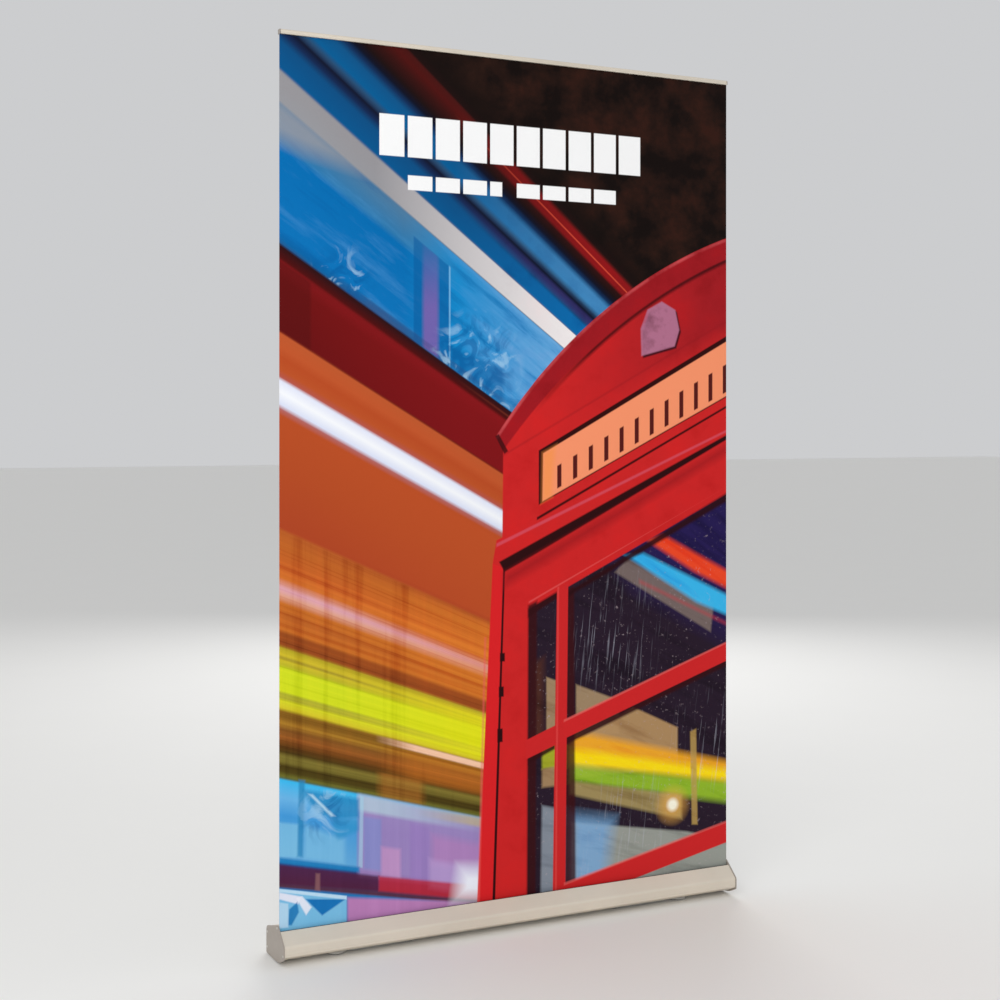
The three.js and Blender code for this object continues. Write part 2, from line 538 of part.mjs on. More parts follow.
// The jaw wraps the bead from the front, so it can swing up without touching the rail.
const knuckle = HINGE_BEAD + GAP;
const knuckleOuter = RAIL_FRONT + beadY;
const jawLip = -RAIL_FRONT - JAW_LIP;
const [wrapStart, wrapEnd] = JAW_WRAP;
const arc = (radius, from, to, steps) => Array.from({ length: steps + 1 }, (_, i) => {
  const angle = THREE.MathUtils.degToRad(from + (to - from) * i / steps);
  return new THREE.Vector2(beadY + radius * Math.cos(angle), beadZ + radius * Math.sin(angle));
});
const jawProfile = [
  ...arc(knuckleOuter, wrapStart, 180, 7),
  ...rounded([
    [-RAIL_FRONT, railBottom + JAW_LIP_FADE], [jawLip, railBottom + JAW_LIP_TOP, 0.4],
    [jawLip, railBottom, 0.6], [sheetFront, railBottom, 0.4],
    [sheetFront, railBottom + JAW_HEEL, 0.4], [-RAIL_FRONT + JAW_THICKNESS, railBottom + JAW_INNER_TOP],
  ], false),
  ...arc(knuckle, wrapEnd, wrapStart, 9),
];
place('rail_jaw', extrudeX(jawProfile, -railHalf, railHalf), anodised(), 0, planeY, 0);
const gripHalf = railHalf - GRIP_STRIP_INSET;
const gripBottom = railBottom + GRIP_STRIP_RISE;
place('rail_grip_strip', box(-gripHalf, gripHalf, plateFront, plateFront + GRIP_STRIP_DEPTH,
  gripBottom, gripBottom + GRIP_STRIP_HEIGHT), rubber(), 0, planeY, 0);
// Each end plug straddles the graphic.
const plugNotch = railBottom + GRAPHIC_TUCK + RAIL_PLUG_NOTCH;
ends.forEach(([end, side]) => {
  const inner = side * (railHalf + GAP);
  const outer = side * (railHalf + GAP + RAIL_PLUG);
  const plug = extrudeX(rounded([
    [jawLip, railBottom, 0.6], [sheetFront, railBottom], [sheetFront, plugNotch],
    [-sheetFront, plugNotch], [-sheetFront, railBottom], [railBack, railBottom, 0.6],
    [railBack, railTop, 1], [beadY, railTop, 1], [jawLip, railTop - RAIL_PLUG_BROW, 2],
  ]), Math.min(inner, outer), Math.max(inner, outer));
  place(`rail_plug_${end}`, plug, capPaint(), 0, planeY, 0);
});

const fingerFront = channelFront + GAP + FINGER_PLAY;
const fingerBack = channelBack - GAP - FINGER_PLAY;
const fingerTop = railTop - RAIL_WALL - GAP - FINGER_ROOM;
const armTop = railBottom - ARM_DROP;
const armBottom = armTop - ARM_THICKNESS;
const headRadius = tubeRadius(2) + HOOK_RIM;
const headTop = armTop + HOOK_CREST;
const spigotRadius = tubeRadius(2) - POLE_WALL - GAP;
const hookHead = extrudeX(rounded([
  [fingerFront, armBottom, 1.2], [POLE_BEHIND + headRadius, armBottom, 0.5],
  [POLE_BEHIND + headRadius, headTop, 2], [POLE_BEHIND - headRadius, headTop, 2],
  [fingerBack + HOOK_CREST, armTop], [fingerBack, armTop, 0.8],
  [fingerBack, fingerTop, 0.8], [fingerFront, fingerTop, 0.8],
]), -HOOK_WIDTH / 2, HOOK_WIDTH / 2).translate(0, -POLE_BEHIND, 0);
atPole('pole_hook', combine(hookHead, {
  add: [
    cylinderZ(headRadius, hookSeat + GAP, armBottom + 1),
    cylinderZ(spigotRadius, hookSeat - HOOK_SPIGOT, hookSeat + 1),
  ],
}), blackPlastic());

// ---------------------------------------------------------------- swing feet
const hubTop = SHELL_UNDERSIDE - WASHER_THICKNESS - 2 * GAP;
const hubBottom = hubTop - FOOT_THICKNESS;
const boltSeat = hubBottom + BOLT_HEAD_DEPTH;
// Outline of a stowed foot, hub at the origin and tip towards +X.
const footOutline = (() => {
  const hub = Array.from({ length: 25 }, (_, i) => {
    const angle = THREE.MathUtils.degToRad(HUB_NECK + (360 - 2 * HUB_NECK) * i / 24);
    return new THREE.Vector2(FOOT_HUB * Math.cos(angle), FOOT_HUB * Math.sin(angle));
  });
  const bar = rounded([
    [FOOT_HUB + BAR_START, -FOOT_BAR / 2, BAR_FILLET], [FOOT_REACH, -FOOT_TIP, FOOT_TIP - 1],
    [FOOT_REACH, FOOT_TIP, FOOT_TIP - 1], [FOOT_HUB + BAR_START, FOOT_BAR / 2, BAR_FILLET],
  ]);
  return [...hub, ...bar];
})();
ends.forEach(([end, side], i) => {
  const turn = side > 0 ? Math.PI : 0;
  const atFoot = (name, geometry, material, x = 0) => place(name, geometry.rotateZ(turn), material,
    footPivots[i] - side * x, planeY + FOOT_BEHIND, 0);
  const bar = extrude(footOutline, FOOT_THICKNESS).translate(0, 0, hubBottom);
  atFoot(`foot_${end}`, combine(bar, {
    cut: [
      cylinderZ(BOLT_HEAD + GAP, hubBottom - 1, boltSeat + GAP),
      cylinderZ(BOLT_RADIUS + GAP, hubBottom, hubTop + 1, 24),
    ],
  }), zinc());
  atFoot(`foot_tip_pad_${end}`, cylinderZ(FOOT_TIP - TIP_PAD_MARGIN, 0, hubBottom - GAP), rubber(),
    FOOT_REACH - FOOT_TIP - TIP_PAD_SETBACK);
  atFoot(`foot_hub_pad_${end}`, tube(HUB_PAD_INNER, HUB_PAD_OUTER, 0, hubBottom - GAP), rubber());
  const mountBottom = SHELL_UNDERSIDE + SHELL_WALL + GAP;
  const boltTop = mountBottom + BOLT_GRIP;
  atFoot(`foot_bolt_${end}`, turned([
    [0, hubBottom + GAP], [BOLT_HEAD, hubBottom + GAP], [BOLT_HEAD, boltSeat],
    [BOLT_RADIUS, boltSeat], [BOLT_RADIUS, boltTop], [0, boltTop],
  ], 24), zinc());
  atFoot(`foot_washer_${end}`, tube(BOLT_RADIUS + GAP, FOOT_HUB * WASHER_SHARE,
    hubTop + GAP, hubTop + GAP + WASHER_THICKNESS), nylon());
  const [plateX, plateY] = [NUT_PLATE_LENGTH / 2, NUT_PLATE_WIDTH / 2];
  const nutPlate = extrude(rounded([
    [-plateX, -plateY, NUT_PLATE_CORNER], [plateX, -plateY, NUT_PLATE_CORNER],
    [plateX, plateY, NUT_PLATE_CORNER], [-plateX, plateY, NUT_PLATE_CORNER],
  ]), NUT_PLATE_THICKNESS);
  atFoot(`foot_nut_plate_${end}`, combine(nutPlate.translate(0, 0, mountBottom), {
    cut: [cylinderZ(BOLT_RADIUS + GAP, mountBottom - 1, boltTop + GAP, 24)],
  }), zinc());
});

export default group;
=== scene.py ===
"""Roll-up banner stand: smooth shapes, finishes, lights and camera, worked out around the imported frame."""

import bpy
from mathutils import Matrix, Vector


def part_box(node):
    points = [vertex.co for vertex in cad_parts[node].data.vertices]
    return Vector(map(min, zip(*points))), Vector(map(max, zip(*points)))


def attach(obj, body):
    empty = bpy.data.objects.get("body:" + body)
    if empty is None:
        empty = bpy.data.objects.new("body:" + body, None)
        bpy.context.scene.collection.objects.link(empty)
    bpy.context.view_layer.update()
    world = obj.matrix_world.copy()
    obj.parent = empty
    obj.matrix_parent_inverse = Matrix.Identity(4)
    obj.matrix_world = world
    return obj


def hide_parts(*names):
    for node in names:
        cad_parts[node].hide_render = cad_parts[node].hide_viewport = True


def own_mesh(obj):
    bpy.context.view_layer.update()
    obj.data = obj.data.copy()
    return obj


bl_info = {
    "name": "Roll-up banner stand",
    "version": (1, 0, 0),
    "blender": (4, 5, 0),
    "location": "View3D > Sidebar > Banner",
    "description": "Builds the looks of a roll-up banner stand around its packed frame",
    "category": "Object",
}

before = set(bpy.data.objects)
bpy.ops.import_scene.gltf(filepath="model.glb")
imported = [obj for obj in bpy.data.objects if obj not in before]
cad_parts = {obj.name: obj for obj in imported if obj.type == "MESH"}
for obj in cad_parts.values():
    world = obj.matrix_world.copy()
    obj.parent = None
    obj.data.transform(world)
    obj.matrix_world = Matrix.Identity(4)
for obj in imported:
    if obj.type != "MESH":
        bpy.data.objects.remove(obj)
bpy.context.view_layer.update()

import math

import bmesh
import bpy
import numpy as np
from bpy.props import FloatProperty, FloatVectorProperty, PointerProperty
from bpy.types import Operator, Panel, PropertyGroup
from mathutils import Vector

MM = 0.001
SIDES = ("left", "right")


def tint(red, green, blue):
    """A colour given as 0 to 255 screen values, as the linear colour that a shader takes."""
    share = np.array([red, green, blue]) / 255
    linear = np.where(share <= 0.04045, share / 12.92, ((share + 0.055) / 1.055) ** 2.4)
    return (*linear.tolist(), 1.0)


def reach(node):
    """Lowest and highest corner of a CAD node in millimetres."""
    low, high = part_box(node)
    return np.array(low) / MM, np.array(high) / MM


FILM_LOW, FILM_HIGH = reach("graphic_sheet")
PLANE = (FILM_LOW[1] + FILM_HIGH[1]) / 2           # the film's own plane, across the depth
SHELL_END = reach("base_shell")[1][0]
RAIL_LOW = reach("rail_body")[0]
POLE_LOW, POLE_HIGH = reach("pole_lower")
POLE_AXIS = (POLE_LOW[1] + POLE_HIGH[1]) / 2
WALL_SHELL = 2.0
WALL_POLE = 1.2
WALL_SOCKET = 1.7
WALL_COLLAR = 3.4                                  # the grip of a lock collar, round the tube it sits on
BOLT_HOLE = 4.6                                    # radius of the holes for the feet's bolts
PORT_RADIUS, PORT_BORE = 3.0, 1.6                  # screw ports inside the shell
GAP = 0.3
CRISP = 0.12                                       # radius of an edge that is left crisp
HOLD, HOLD_SHARE = 0.15, 0.2                       # holding points: at most so far, and so much of the radius
FLUTE_FADE, FLUTE_BAND = 3, 1                      # a flute's run-out, and how far in from the rim it counts
COLLAR_FOOT, COLLAR_TAPER = 3, 8                   # a lock collar's foot chamfer and its tapered top
FILM_FREE, FILM_FADE = 20, 250                     # the film is flat so far above the slot, and then waves
FILM_HELD = 10                                     # and is flat so far below the rail
WAVE_LENGTH, WAVE_DRIFT, CURL_POWER = 64, 900, 8
SMOOTH_BELOW = math.radians(32)                    # edges flatter than this are shaded smooth

# Corners of the shell's section as (depth from the film's plane, height, radius), in millimetres.
LIP = 74.86                                        # the folded front edge of the slot
TOP_BACK, TOP_SLOT = 61.73, 83.91                  # the shell's top at its back and at the slot
SHELL_SECTION = (
    (-8, 66.86, 0), (-8, LIP, 1), (-39.8, 47.45, 9), (-39.8, 30.4, 0.25), (-39.0, 29.2, 0.25),
    (-39.8, 28.0, 0.25), (-39.8, 24.5, 5), (-7, 9, 24), (81.8, 9, 3), (81.8, TOP_BACK, 13),
    (3.7, TOP_SLOT, 1.5), (3.7, 66.86, 0),
)


# ---------------------------------------------------------------- surfaces

def rounded(corners, steps=8, closed=True):
    """Outline through (u, v, radius) corners. Each corner becomes an arc. Its centre lies on the corner's
    bisector at radius / sin(half angle), and it starts and ends radius / tan(half angle) from the corner. A
    holding point stands just outside both ends of each arc, so that flat faces stay flat when shaded."""
    table = np.asarray(corners, float)
    point, radius = table[:, :2], np.maximum(table[:, 2], CRISP)
    back = np.roll(point, 1, 0) - point
    ahead = np.roll(point, -1, 0) - point
    back /= np.linalg.norm(back, axis=1, keepdims=True)
    ahead /= np.linalg.norm(ahead, axis=1, keepdims=True)
    half = np.arccos(np.clip((back * ahead).sum(1), -1, 1)) / 2
    length = radius / np.tan(half)
    bisector = back + ahead
    bisector /= np.linalg.norm(bisector, axis=1, keepdims=True)
    centre = point + bisector * (radius / np.sin(half))[:, None]
    first, last = point + back * length[:, None], point + ahead * length[:, None]
    start = np.arctan2(*(first - centre).T[::-1])
    turn = np.arctan2(*(last - centre).T[::-1]) - start
    turn = (turn + math.pi) % (2 * math.pi) - math.pi
    angle = start[:, None] + turn[:, None] * np.linspace(0, 1, steps)
    arc = centre[:, None] + radius[:, None, None] * np.stack([np.cos(angle), np.sin(angle)], -1)
    hold = np.minimum(HOLD, HOLD_SHARE * radius)[:, None]
    arcs = np.concatenate([(first + back * hold)[:, None], arc, (last + ahead * hold)[:, None]], 1)
    if closed:
        return arcs.reshape(-1, 2)
    return np.concatenate([point[:1], arcs[1:-1].reshape(-1, 2), point[-1:]])


def shifted(corners, distance):
    """The corners of an open path moved sideways to its left by distance, on the mitres of its sides."""
    table = np.asarray(corners, float)
    along = np.diff(table[:, :2], axis=0)
    normal = np.stack([-along[:, 1], along[:, 0]], 1) / np.linalg.norm(along, axis=1, keepdims=True)
    before = np.concatenate([normal[:1], normal])
    after = np.concatenate([normal, normal[-1:]])
    mitre = before + after
    mitre *= (2 * distance / (mitre ** 2).sum(1))[:, None]
    return np.column_stack([table[:, :2] + mitre, np.maximum(table[:, 2] - distance, 0.4)])


def turned(profile, segments=64, grips=0, depth=0.0, span=(0, 0)):
    """Rings of (radius, height) pairs turned around Z. Between the heights of span, the outer radius has that
    many shallow flutes: it is less by depth * (0.5 + 0.5 cos(grips * angle)) ** 4, faded in at both ends."""
    radius, height = np.asarray(profile, float).T
    angle = 2 * math.pi * np.arange(segments) / segments
    fade = np.clip(np.minimum(height - span[0], span[1] - height) / FLUTE_FADE, 0, 1) if grips else height * 0
    fade = fade * (radius > radius.max() - FLUTE_BAND)
    flute = (0.5 + 0.5 * np.cos(grips * angle)) ** 4 * depth
    reached = radius[:, None] - fade[:, None] * flute
    heights = np.broadcast_to(height[:, None], reached.shape)
    return np.stack([reached * np.cos(angle), reached * np.sin(angle), heights], -1)


def dense(outline, step):
    """A closed outline with its long sides cut into lengths of at most step."""
    side = np.roll(outline, -1, 0) - outline
    count = np.maximum(1, np.ceil(np.linalg.norm(side, axis=1) / step)).astype(int)
    start = np.repeat(np.arange(len(outline)), count)
    share = (np.arange(len(start)) - np.repeat(np.cumsum(count) - count, count)) / np.repeat(count, count)
    return outline[start] + side[start] * share[:, None]


def tube(outer, bore, bottom, top, edges, steps):
    """A tube's section as (radius, height), with the radii of its outer and inner edges."""
    return rounded(((bore, bottom, edges[1]), (outer, bottom, edges[0]), (outer, top, edges[0]),
                    (bore, top, edges[1])), steps)


def skin(rings, looped=False):
    """Points and faces of a grid of rings: quads around each ring and from each ring to the next. The last
    ring joins the first one if looped, and else a flat face closes each end."""
    count, size = rings.shape[:2]
    ring, step = np.meshgrid(np.arange(count if looped else count - 1), np.arange(size), indexing="ij")
    following, beside = (ring + 1) % count, (step + 1) % size
    quads = np.stack([ring * size + step, ring * size + beside, following * size + beside,
                      following * size + step], -1).reshape(-1, 4)
    faces = quads.tolist()
    if not looped:
        faces += [list(range(size))[::-1], list(range((count - 1) * size, count * size))]
    return rings.reshape(-1, 3), faces


def bored(outline, stations, holes, segments=64):
    """A prism of an outline along X, with rings at the stations and upright round holes through flat sides.
    Each hole is (x, y, radius, upper): it pierces the two sides over or under that y. A pierced rectangle
    becomes four faces, from its edges to the quarters of the hole's rim, and a wall joins both rims."""
    points, faces = skin(np.array([np.insert(outline, 0, station, axis=1) for station in stations]))
    size, after = len(outline), np.roll(outline, -1, 0)
    angle = 2 * math.pi * np.arange(segments) / segments + math.pi / 4
    step = np.arange(segments)
    quarter = segments // 4
    dropped, added, rims = [], [], []
    for x, y, radius, upper in holes:
        ring = int(np.searchsorted(stations, x)) - 1
        crossing = (outline[:, 0] - y) * (after[:, 0] - y) < 0
        sides = np.flatnonzero(crossing & ((outline[:, 1] > outline[:, 1].mean()) == upper))
        walls = []
        for side in sides:
            (y0, z0), (y1, z1) = outline[side], after[side]
            depth = y + radius * np.sin(angle)
            rims.append(np.column_stack([x + radius * np.cos(angle), depth,
                                         z0 + (depth - y0) * (z1 - z0) / (y1 - y0)]))
            first = len(points) + (len(rims) - 1) * segments
            near, far = (side, (side + 1) % size)[::1 if y0 < y1 else -1]
            start, stop = ring * size, (ring + 1) * size
            corners = [stop + far, start + far, start + near, stop + near]
            for turn in range(4):
                arc = first + (turn * quarter + np.arange(quarter + 1)) % segments
                added.append([int(corners[(turn + 1) % 4]), int(corners[turn]), *arc.tolist()])
            dropped.append(ring * size + side)
            walls.append(first + step)
        low, high = walls
        added += np.stack([low, low[0] + (step + 1) % segments, high[0] + (step + 1) % segments, high],
                          1).tolist()
    kept = [face for number, face in enumerate(faces) if number not in set(dropped)]
    return np.concatenate([points, *rims]), kept + added


def piece(name, parts, finishes, body, node):
    """A mesh from closed parts in millimetres."""
    points, faces = [], []
    for part_points, part_faces in parts:
        base = sum(len(p) for p in points)
        points.append(part_points)
        faces += [[base + corner for corner in face] for face in part_faces]
    mesh = bpy.data.meshes.new(name)
    mesh.from_pydata(np.concatenate(points) * MM, [], faces)
    return finished(name, mesh, finishes, body, node)


def finished(name, mesh, finishes, body, node):
    """Turns a mesh's faces outwards, shades it, puts it on its body and lets it stand for a CAD node."""
    work = bmesh.new()
    work.from_mesh(mesh)
    bmesh.ops.recalc_face_normals(work, faces=work.faces)
    work.to_mesh(mesh)
    work.free()
    mesh.shade_smooth()
    mesh.set_sharp_from_angle(angle=SMOOTH_BELOW)
    for finish in finishes:
        mesh.materials.append(finish)
    obj = bpy.data.objects.new(name, mesh)
    bpy.context.scene.collection.objects.link(obj)
    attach(obj, body)
    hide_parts(node)
    return obj


def eased_node(node, finish, body, edge=0.25):
    """A CAD node's own shape as one closed mesh: its points merged, its flat faces made whole, and its edges
    eased by a bevel of that many millimetres."""
    name = f"{node}_skin"
    work = bmesh.new()
    work.from_mesh(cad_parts[node].data)
    bmesh.ops.remove_doubles(work, verts=work.verts, dist=2e-6)
    bmesh.ops.dissolve_limit(work, angle_limit=math.radians(0.5), verts=work.verts, edges=work.edges)
    mesh = bpy.data.meshes.new(name)
    work.to_mesh(mesh)
    work.free()
    obj = finished(name, mesh, [finish], body, node)
    bevel = obj.modifiers.new("eased edges", "BEVEL")
    bevel.width, bevel.segments, bevel.limit_method = edge * MM, 2, "ANGLE"
    bevel.angle_limit, bevel.harden_normals = math.radians(40), True
    return obj


def dress(node, finish):
    """Gives a CAD node that keeps its shape a finish."""
    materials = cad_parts[node].data.materials
    materials.clear()
    materials.append(finish)


# ---------------------------------------------------------------- finishes

def scaled(colour, share):
    """A colour made lighter or darker by a share."""
    return tuple(min(1, share * c) for c in colour[:3]) + (1,)


def drawn_out(across, along, axis):
    """The scale of a noise that is drawn out along one axis."""
    return tuple(along if number == axis else across for number in range(3))


class Wire:
    """A value on its way through a material: arithmetic on it adds Math nodes."""

    def __init__(self, finish, socket):
        self.finish, self.socket = finish, socket

    def __add__(self, other):
        return self.finish.math("ADD", self, other)

    __radd__ = __add__

    def __sub__(self, other):
        return self.finish.math("SUBTRACT", self, other)

    def __rsub__(self, other):
        return self.finish.math("SUBTRACT", other, self)

    def __mul__(self, other):
        return self.finish.math("MULTIPLY", self, other)

    __rmul__ = __mul__

    def __truediv__(self, other):
        return self.finish.math("DIVIDE", self, other)

    def __rtruediv__(self, other):
        return self.finish.math("DIVIDE", other, self)


class Finish:
    """One material, put together node by node."""

    def __init__(self, name):
        self.material = bpy.data.materials.new(name)
        self.material.use_nodes = True
        self.tree = self.material.node_tree
        self.tree.nodes.clear()

    def node(self, kind, settings=None, inputs=None, output=0):
        """Adds a node. Its settings come first, with a ramp's stops as (place, colour) pairs, and then the
        value or link of each socket, by its identifier."""
        node = self.tree.nodes.new("ShaderNode" + kind)
        for key, value in (settings or {}).items():
            if key == "stops":
                places = node.color_ramp.elements
                for _ in value[2:]:
                    places.new(1.0)
                for place, (at, colour) in zip(places, value):
                    place.position, place.color = at, colour
            else:
                setattr(node, key, value)
        for key, value in (inputs or {}).items():
            socket = next(s for s in node.inputs if s.identifier == key)
            if isinstance(value, Wire):
                self.tree.links.new(value.socket, socket)
            else:
                socket.default_value = value
        return Wire(self, node.outputs[output]) if node.outputs else None

    def math(self, operation, *values, clamp=False):
        names = ("Value", "Value_001", "Value_002")
        return self.node("Math", {"operation": operation, "use_clamp": clamp}, dict(zip(names, values)))

    def mix(self, below, above, share, how="MIX"):
        """A colour or link laid over another, by a share from 0 to 1."""
        return self.node("Mix", {"data_type": "RGBA", "blend_type": how},
                         {"Factor_Float": share, "A_Color": below, "B_Color": above}, output=2)

    def ramp(self, value, stops):
        return self.node("ValToRGB", {"stops": stops}, {"Fac": value})

    def fade(self, value, low, high):
        """0 at low and 1 at high, straight between and held beyond."""
        return self.node("MapRange", {}, {"Value": value, "From Min": low, "From Max": high})

    def place(self, stretch=(1, 1, 1), turn=(0, 0, 0)):
        """The object's own coordinates in metres, turned and then stretched."""
        own = self.node("TexCoord", output=3)
        return self.node("Mapping", {}, {"Vector": own, "Rotation": turn, "Scale": stretch})

    def noise(self, place, scale, detail=3.0, roughness=0.5):
        return self.node("TexNoise", {}, {"Vector": place, "Scale": scale, "Detail": detail,
                                          "Roughness": roughness})

    def bump(self, height, strength, distance):
        return self.node("Bump", {}, {"Height": height, "Strength": strength, "Distance": distance * MM})

    def surface(self, inputs):
        """Closes the material with one Principled shader, and returns it."""
        shader = self.node("BsdfPrincipled", {}, inputs)
        self.node("OutputMaterial", {}, {"Surface": shader})
        return self.material


def drawn_metal(name, colour, along, metallic, roughness=0.46):
    """Anodised aluminium. Fine drawing lines run along one axis: noise stretched some 400 times along it
    varies the roughness and a shallow bump. A broad noise varies the tone by a few percent, as handling does.
    A thick matt coat shows as a low share of metal."""
    metal = Finish(name)
    lines = metal.noise(metal.place(drawn_out(2600.0, 6.0, along)), 1.0, 4.0, 0.65)
    cloud = metal.noise(metal.place(), 7.0, 3.0)
    marks = metal.noise(metal.place((40, 40, 40)), 3.0, 6.0, 0.7)
    tone = metal.ramp(cloud * 0.6 + lines * 0.4, [(0.3, scaled(colour, 0.90)), (0.7, scaled(colour, 1.05))])
    gloss = metal.fade(marks, 0.45, 0.75) * 0.07 + lines * 0.10 + (roughness - 0.05)
    return metal.surface({"Base Color": tone, "Metallic": metallic, "Roughness": gloss,
                          "Normal": metal.bump(lines, 0.03, 0.6)})


def moulded(name, colour, roughness=0.5, grain=2200.0, depth=0.08, worn=0.10):
    """Moulded plastic or paint: a fine spark-eroded grain, a tone that clouds by a few percent, and shinier
    spots where it is touched."""
    plastic = Finish(name)
    own = plastic.place()
    pits = plastic.noise(own, grain, 2.0, 0.6)
    cloud = plastic.noise(own, 22.0, 4.0, 0.6)
    tone = plastic.mix(scaled(colour, 1 - worn), scaled(colour, 1 + worn), cloud)
    gloss = plastic.fade(cloud, 0.3, 0.7) * -0.12 + pits * 0.10 + roughness
    return plastic.surface({"Base Color": tone, "Roughness": gloss,
                            "Normal": plastic.bump(pits, depth, 0.15)})


def plated_steel(name, colour=(0.62, 0.62, 0.60, 1.0)):
    """Zinc-plated steel: a patchy crystalline tone from cell noise, and faint polishing marks."""
    steel = Finish(name)
    cells = steel.node("TexVoronoi", {}, {"Vector": steel.place(), "Scale": 260.0})
    cloud = steel.noise(steel.place(), 90.0, 4.0, 0.6)
    tone = steel.mix(colour, (0.74, 0.73, 0.66, 1.0), cells * 0.5 + cloud * 0.4)
    return steel.surface({"Base Color": tone, "Metallic": 0.9, "Roughness": cloud * 0.22 + 0.2,
                          "Normal": steel.bump(cloud, 0.05, 0.3)})


def pile(name, colour, along=0):
    """Felt or brush: short fibres, as noise drawn out along one axis, in tone and in a deep bump."""
    cloth = Finish(name)
    fibre = cloth.noise(cloth.place(drawn_out(1800.0, 350.0, along)), 1.0, 4.0, 0.7)
    tone = cloth.mix(scaled(colour, 0.55), colour, fibre)
    return cloth.surface({"Base Color": tone, "Roughness": fibre * 0.1 + 0.85,
                          "Normal": cloth.bump(fibre, 0.6, 0.6)})


# ---------------------------------------------------------------- the printed picture

PRINT_TOP = 2.3                        # how far the picture's own top edge lies above the rail's lower edge
FAN_SLOPE, FAN_CLOSING = 0.785, 0.0003
PAST_SIDE, PAST_FOOT = 1204, 2005      # an edge beyond these is off the film

# Light trails in the picture, from its top to its bottom at the left edge: (millimetres down, colour).
TRAILS = (
    (-300, 22, 13, 11), (-268, 30, 14, 13), (-260, 72, 20, 18), (-235, 78, 18, 16), (-204, 56, 17, 15),
    (-165, 28, 14, 15), (-142, 13, 18, 38), (-124, 18, 50, 92), (-104, 14, 84, 136), (-62, 5, 92, 148),
    (-46, 40, 76, 112), (-36, 34, 56, 88), (-26, 16, 20, 42), (-6, 20, 42, 82), (16, 12, 78, 130),
    (77, 6, 86, 142), (84, 150, 148, 152), (150, 150, 149, 153), (156, 78, 122, 156), (235, 46, 120, 172),
    (252, 2, 108, 177), (440, 8, 114, 184), (466, 10, 100, 160), (471, 40, 16, 20), (500, 78, 14, 14),
    (507, 122, 20, 23), (520, 124, 20, 23), (545, 113, 17, 18), (664, 106, 16, 18), (669, 190, 88, 46),
    (700, 190, 84, 42),
), (
    (664, 106, 16, 18), (669, 190, 88, 46), (700, 192, 86, 44), (722, 184, 76, 36), (750, 187, 82, 40),
    (766, 180, 86, 72), (775, 226, 230, 247), (800, 246, 248, 252), (827, 218, 224, 244),
    (838, 178, 102, 98), (852, 184, 78, 37), (960, 179, 75, 36), (1102, 172, 68, 36), (1110, 184, 94, 40),
    (1140, 188, 98, 38), (1190, 199, 98, 39), (1214, 208, 112, 44), (1226, 214, 142, 120),
    (1238, 222, 166, 178), (1252, 222, 162, 140), (1270, 196, 108, 38), (1300, 188, 100, 39),
    (1328, 200, 110, 40), (1337, 150, 74, 30), (1364, 146, 72, 30), (1371, 188, 168, 42),
), (
    (1366, 150, 76, 32), (1371, 188, 172, 42), (1386, 204, 184, 44), (1392, 168, 150, 46),
    (1398, 206, 190, 46), (1408, 186, 180, 42), (1416, 208, 222, 36), (1466, 212, 223, 34),
    (1472, 176, 176, 48), (1482, 176, 172, 48), (1488, 216, 216, 42), (1504, 210, 195, 42),
    (1512, 140, 100, 32), (1524, 128, 88, 28), (1538, 172, 124, 42), (1552, 132, 84, 34),
    (1570, 150, 88, 36), (1582, 112, 66, 24), (1602, 76, 58, 20), (1612, 124, 112, 48),
    (1624, 122, 110, 46), (1634, 72, 58, 18), (1646, 80, 68, 24), (1656, 110, 108, 42), (1661, 86, 104, 64),
    (1666, 58, 184, 238), (1705, 106, 180, 230), (1745, 66, 152, 216), (1846, 100, 170, 220),
    (1852, 40, 66, 128), (1904, 84, 48, 66), (1910, 36, 118, 184),
)

# Flat shapes of the picture: (outline, softness of the edge, colour, strength), from back to front. An
# outline is its corners, or two upright sides as (across, top, bottom).
BEHIND_GLASS = (
    (((735, 1040), (1210, 1000), (1210, 1420), (930, 1270)), 90, (38, 28, 84), 0.9),
    (((868, 1240), (905, 1205), (1162, 1330), (1152, 1404)), 7, (124, 108, 102), 0.85),
    (((900, 1200), (950, 1196), (1210, 1316), (1210, 1366), (1110, 1326)), 12, (58, 186, 240), 0.95),
    (((955, 1160), (1010, 1152), (1210, 1254), (1210, 1298), (1100, 1246)), 14, (242, 74, 34), 0.95),
    (((940, 1262, 1270), (1210, 1386, 1394)), 10, (190, 60, 70), 0.5),
    (((758, 1510, 1640), (880, 1558, 1640)), 6, (164, 138, 106), 0.9),
    (((640, 1450, 1640), (668, 1440, 1640)), 22, (92, 50, 30), 0.6),
    (((676, 1486, 1640), (702, 1496, 1640)), 5, (166, 138, 104), 0.9),
    (((740, 1660), (920, 1578), (1052, 1640), (1052, 1740), (740, 1740)), 6, (178, 142, 98), 0.92),
    (((740, 1630), (800, 1636), (1210, 1742), (1210, 1800), (740, 1690)), 20, (244, 170, 34), 0.92),
    (((740, 1664, 1706), (1210, 1764, 1790)), 22, (255, 226, 18), 0.95),
    (((740, 1706, 1746), (1210, 1792, 1846)), 20, (152, 192, 44), 0.9),
    (((740, 1744, 1776), (1064, 1812, 1872)), 10, (170, 150, 96), 0.85),
    (((745, 1814), (1078, 1906), (1210, 1930), (1210, 2010), (745, 2010)), 7, (160, 164, 156), 0.9),
    (((745, 1826), (862, 1852), (838, 2010), (745, 2010)), 46, (124, 172, 216), 0.85),
    (((1090, 1654), (1108, 1648), (1112, 1892), (1095, 1890)), 5, (188, 154, 86), 0.75),
    (((664, 1662, 1708), (702, 1650, 1708)), 8, (176, 182, 42), 0.85),
    (((664, 1708, 1752), (702, 1704, 1752)), 8, (172, 140, 100), 0.85),
    (((664, 1796), (702, 1806), (702, 2010), (660, 2010)), 8, (142, 152, 164), 0.85),
)
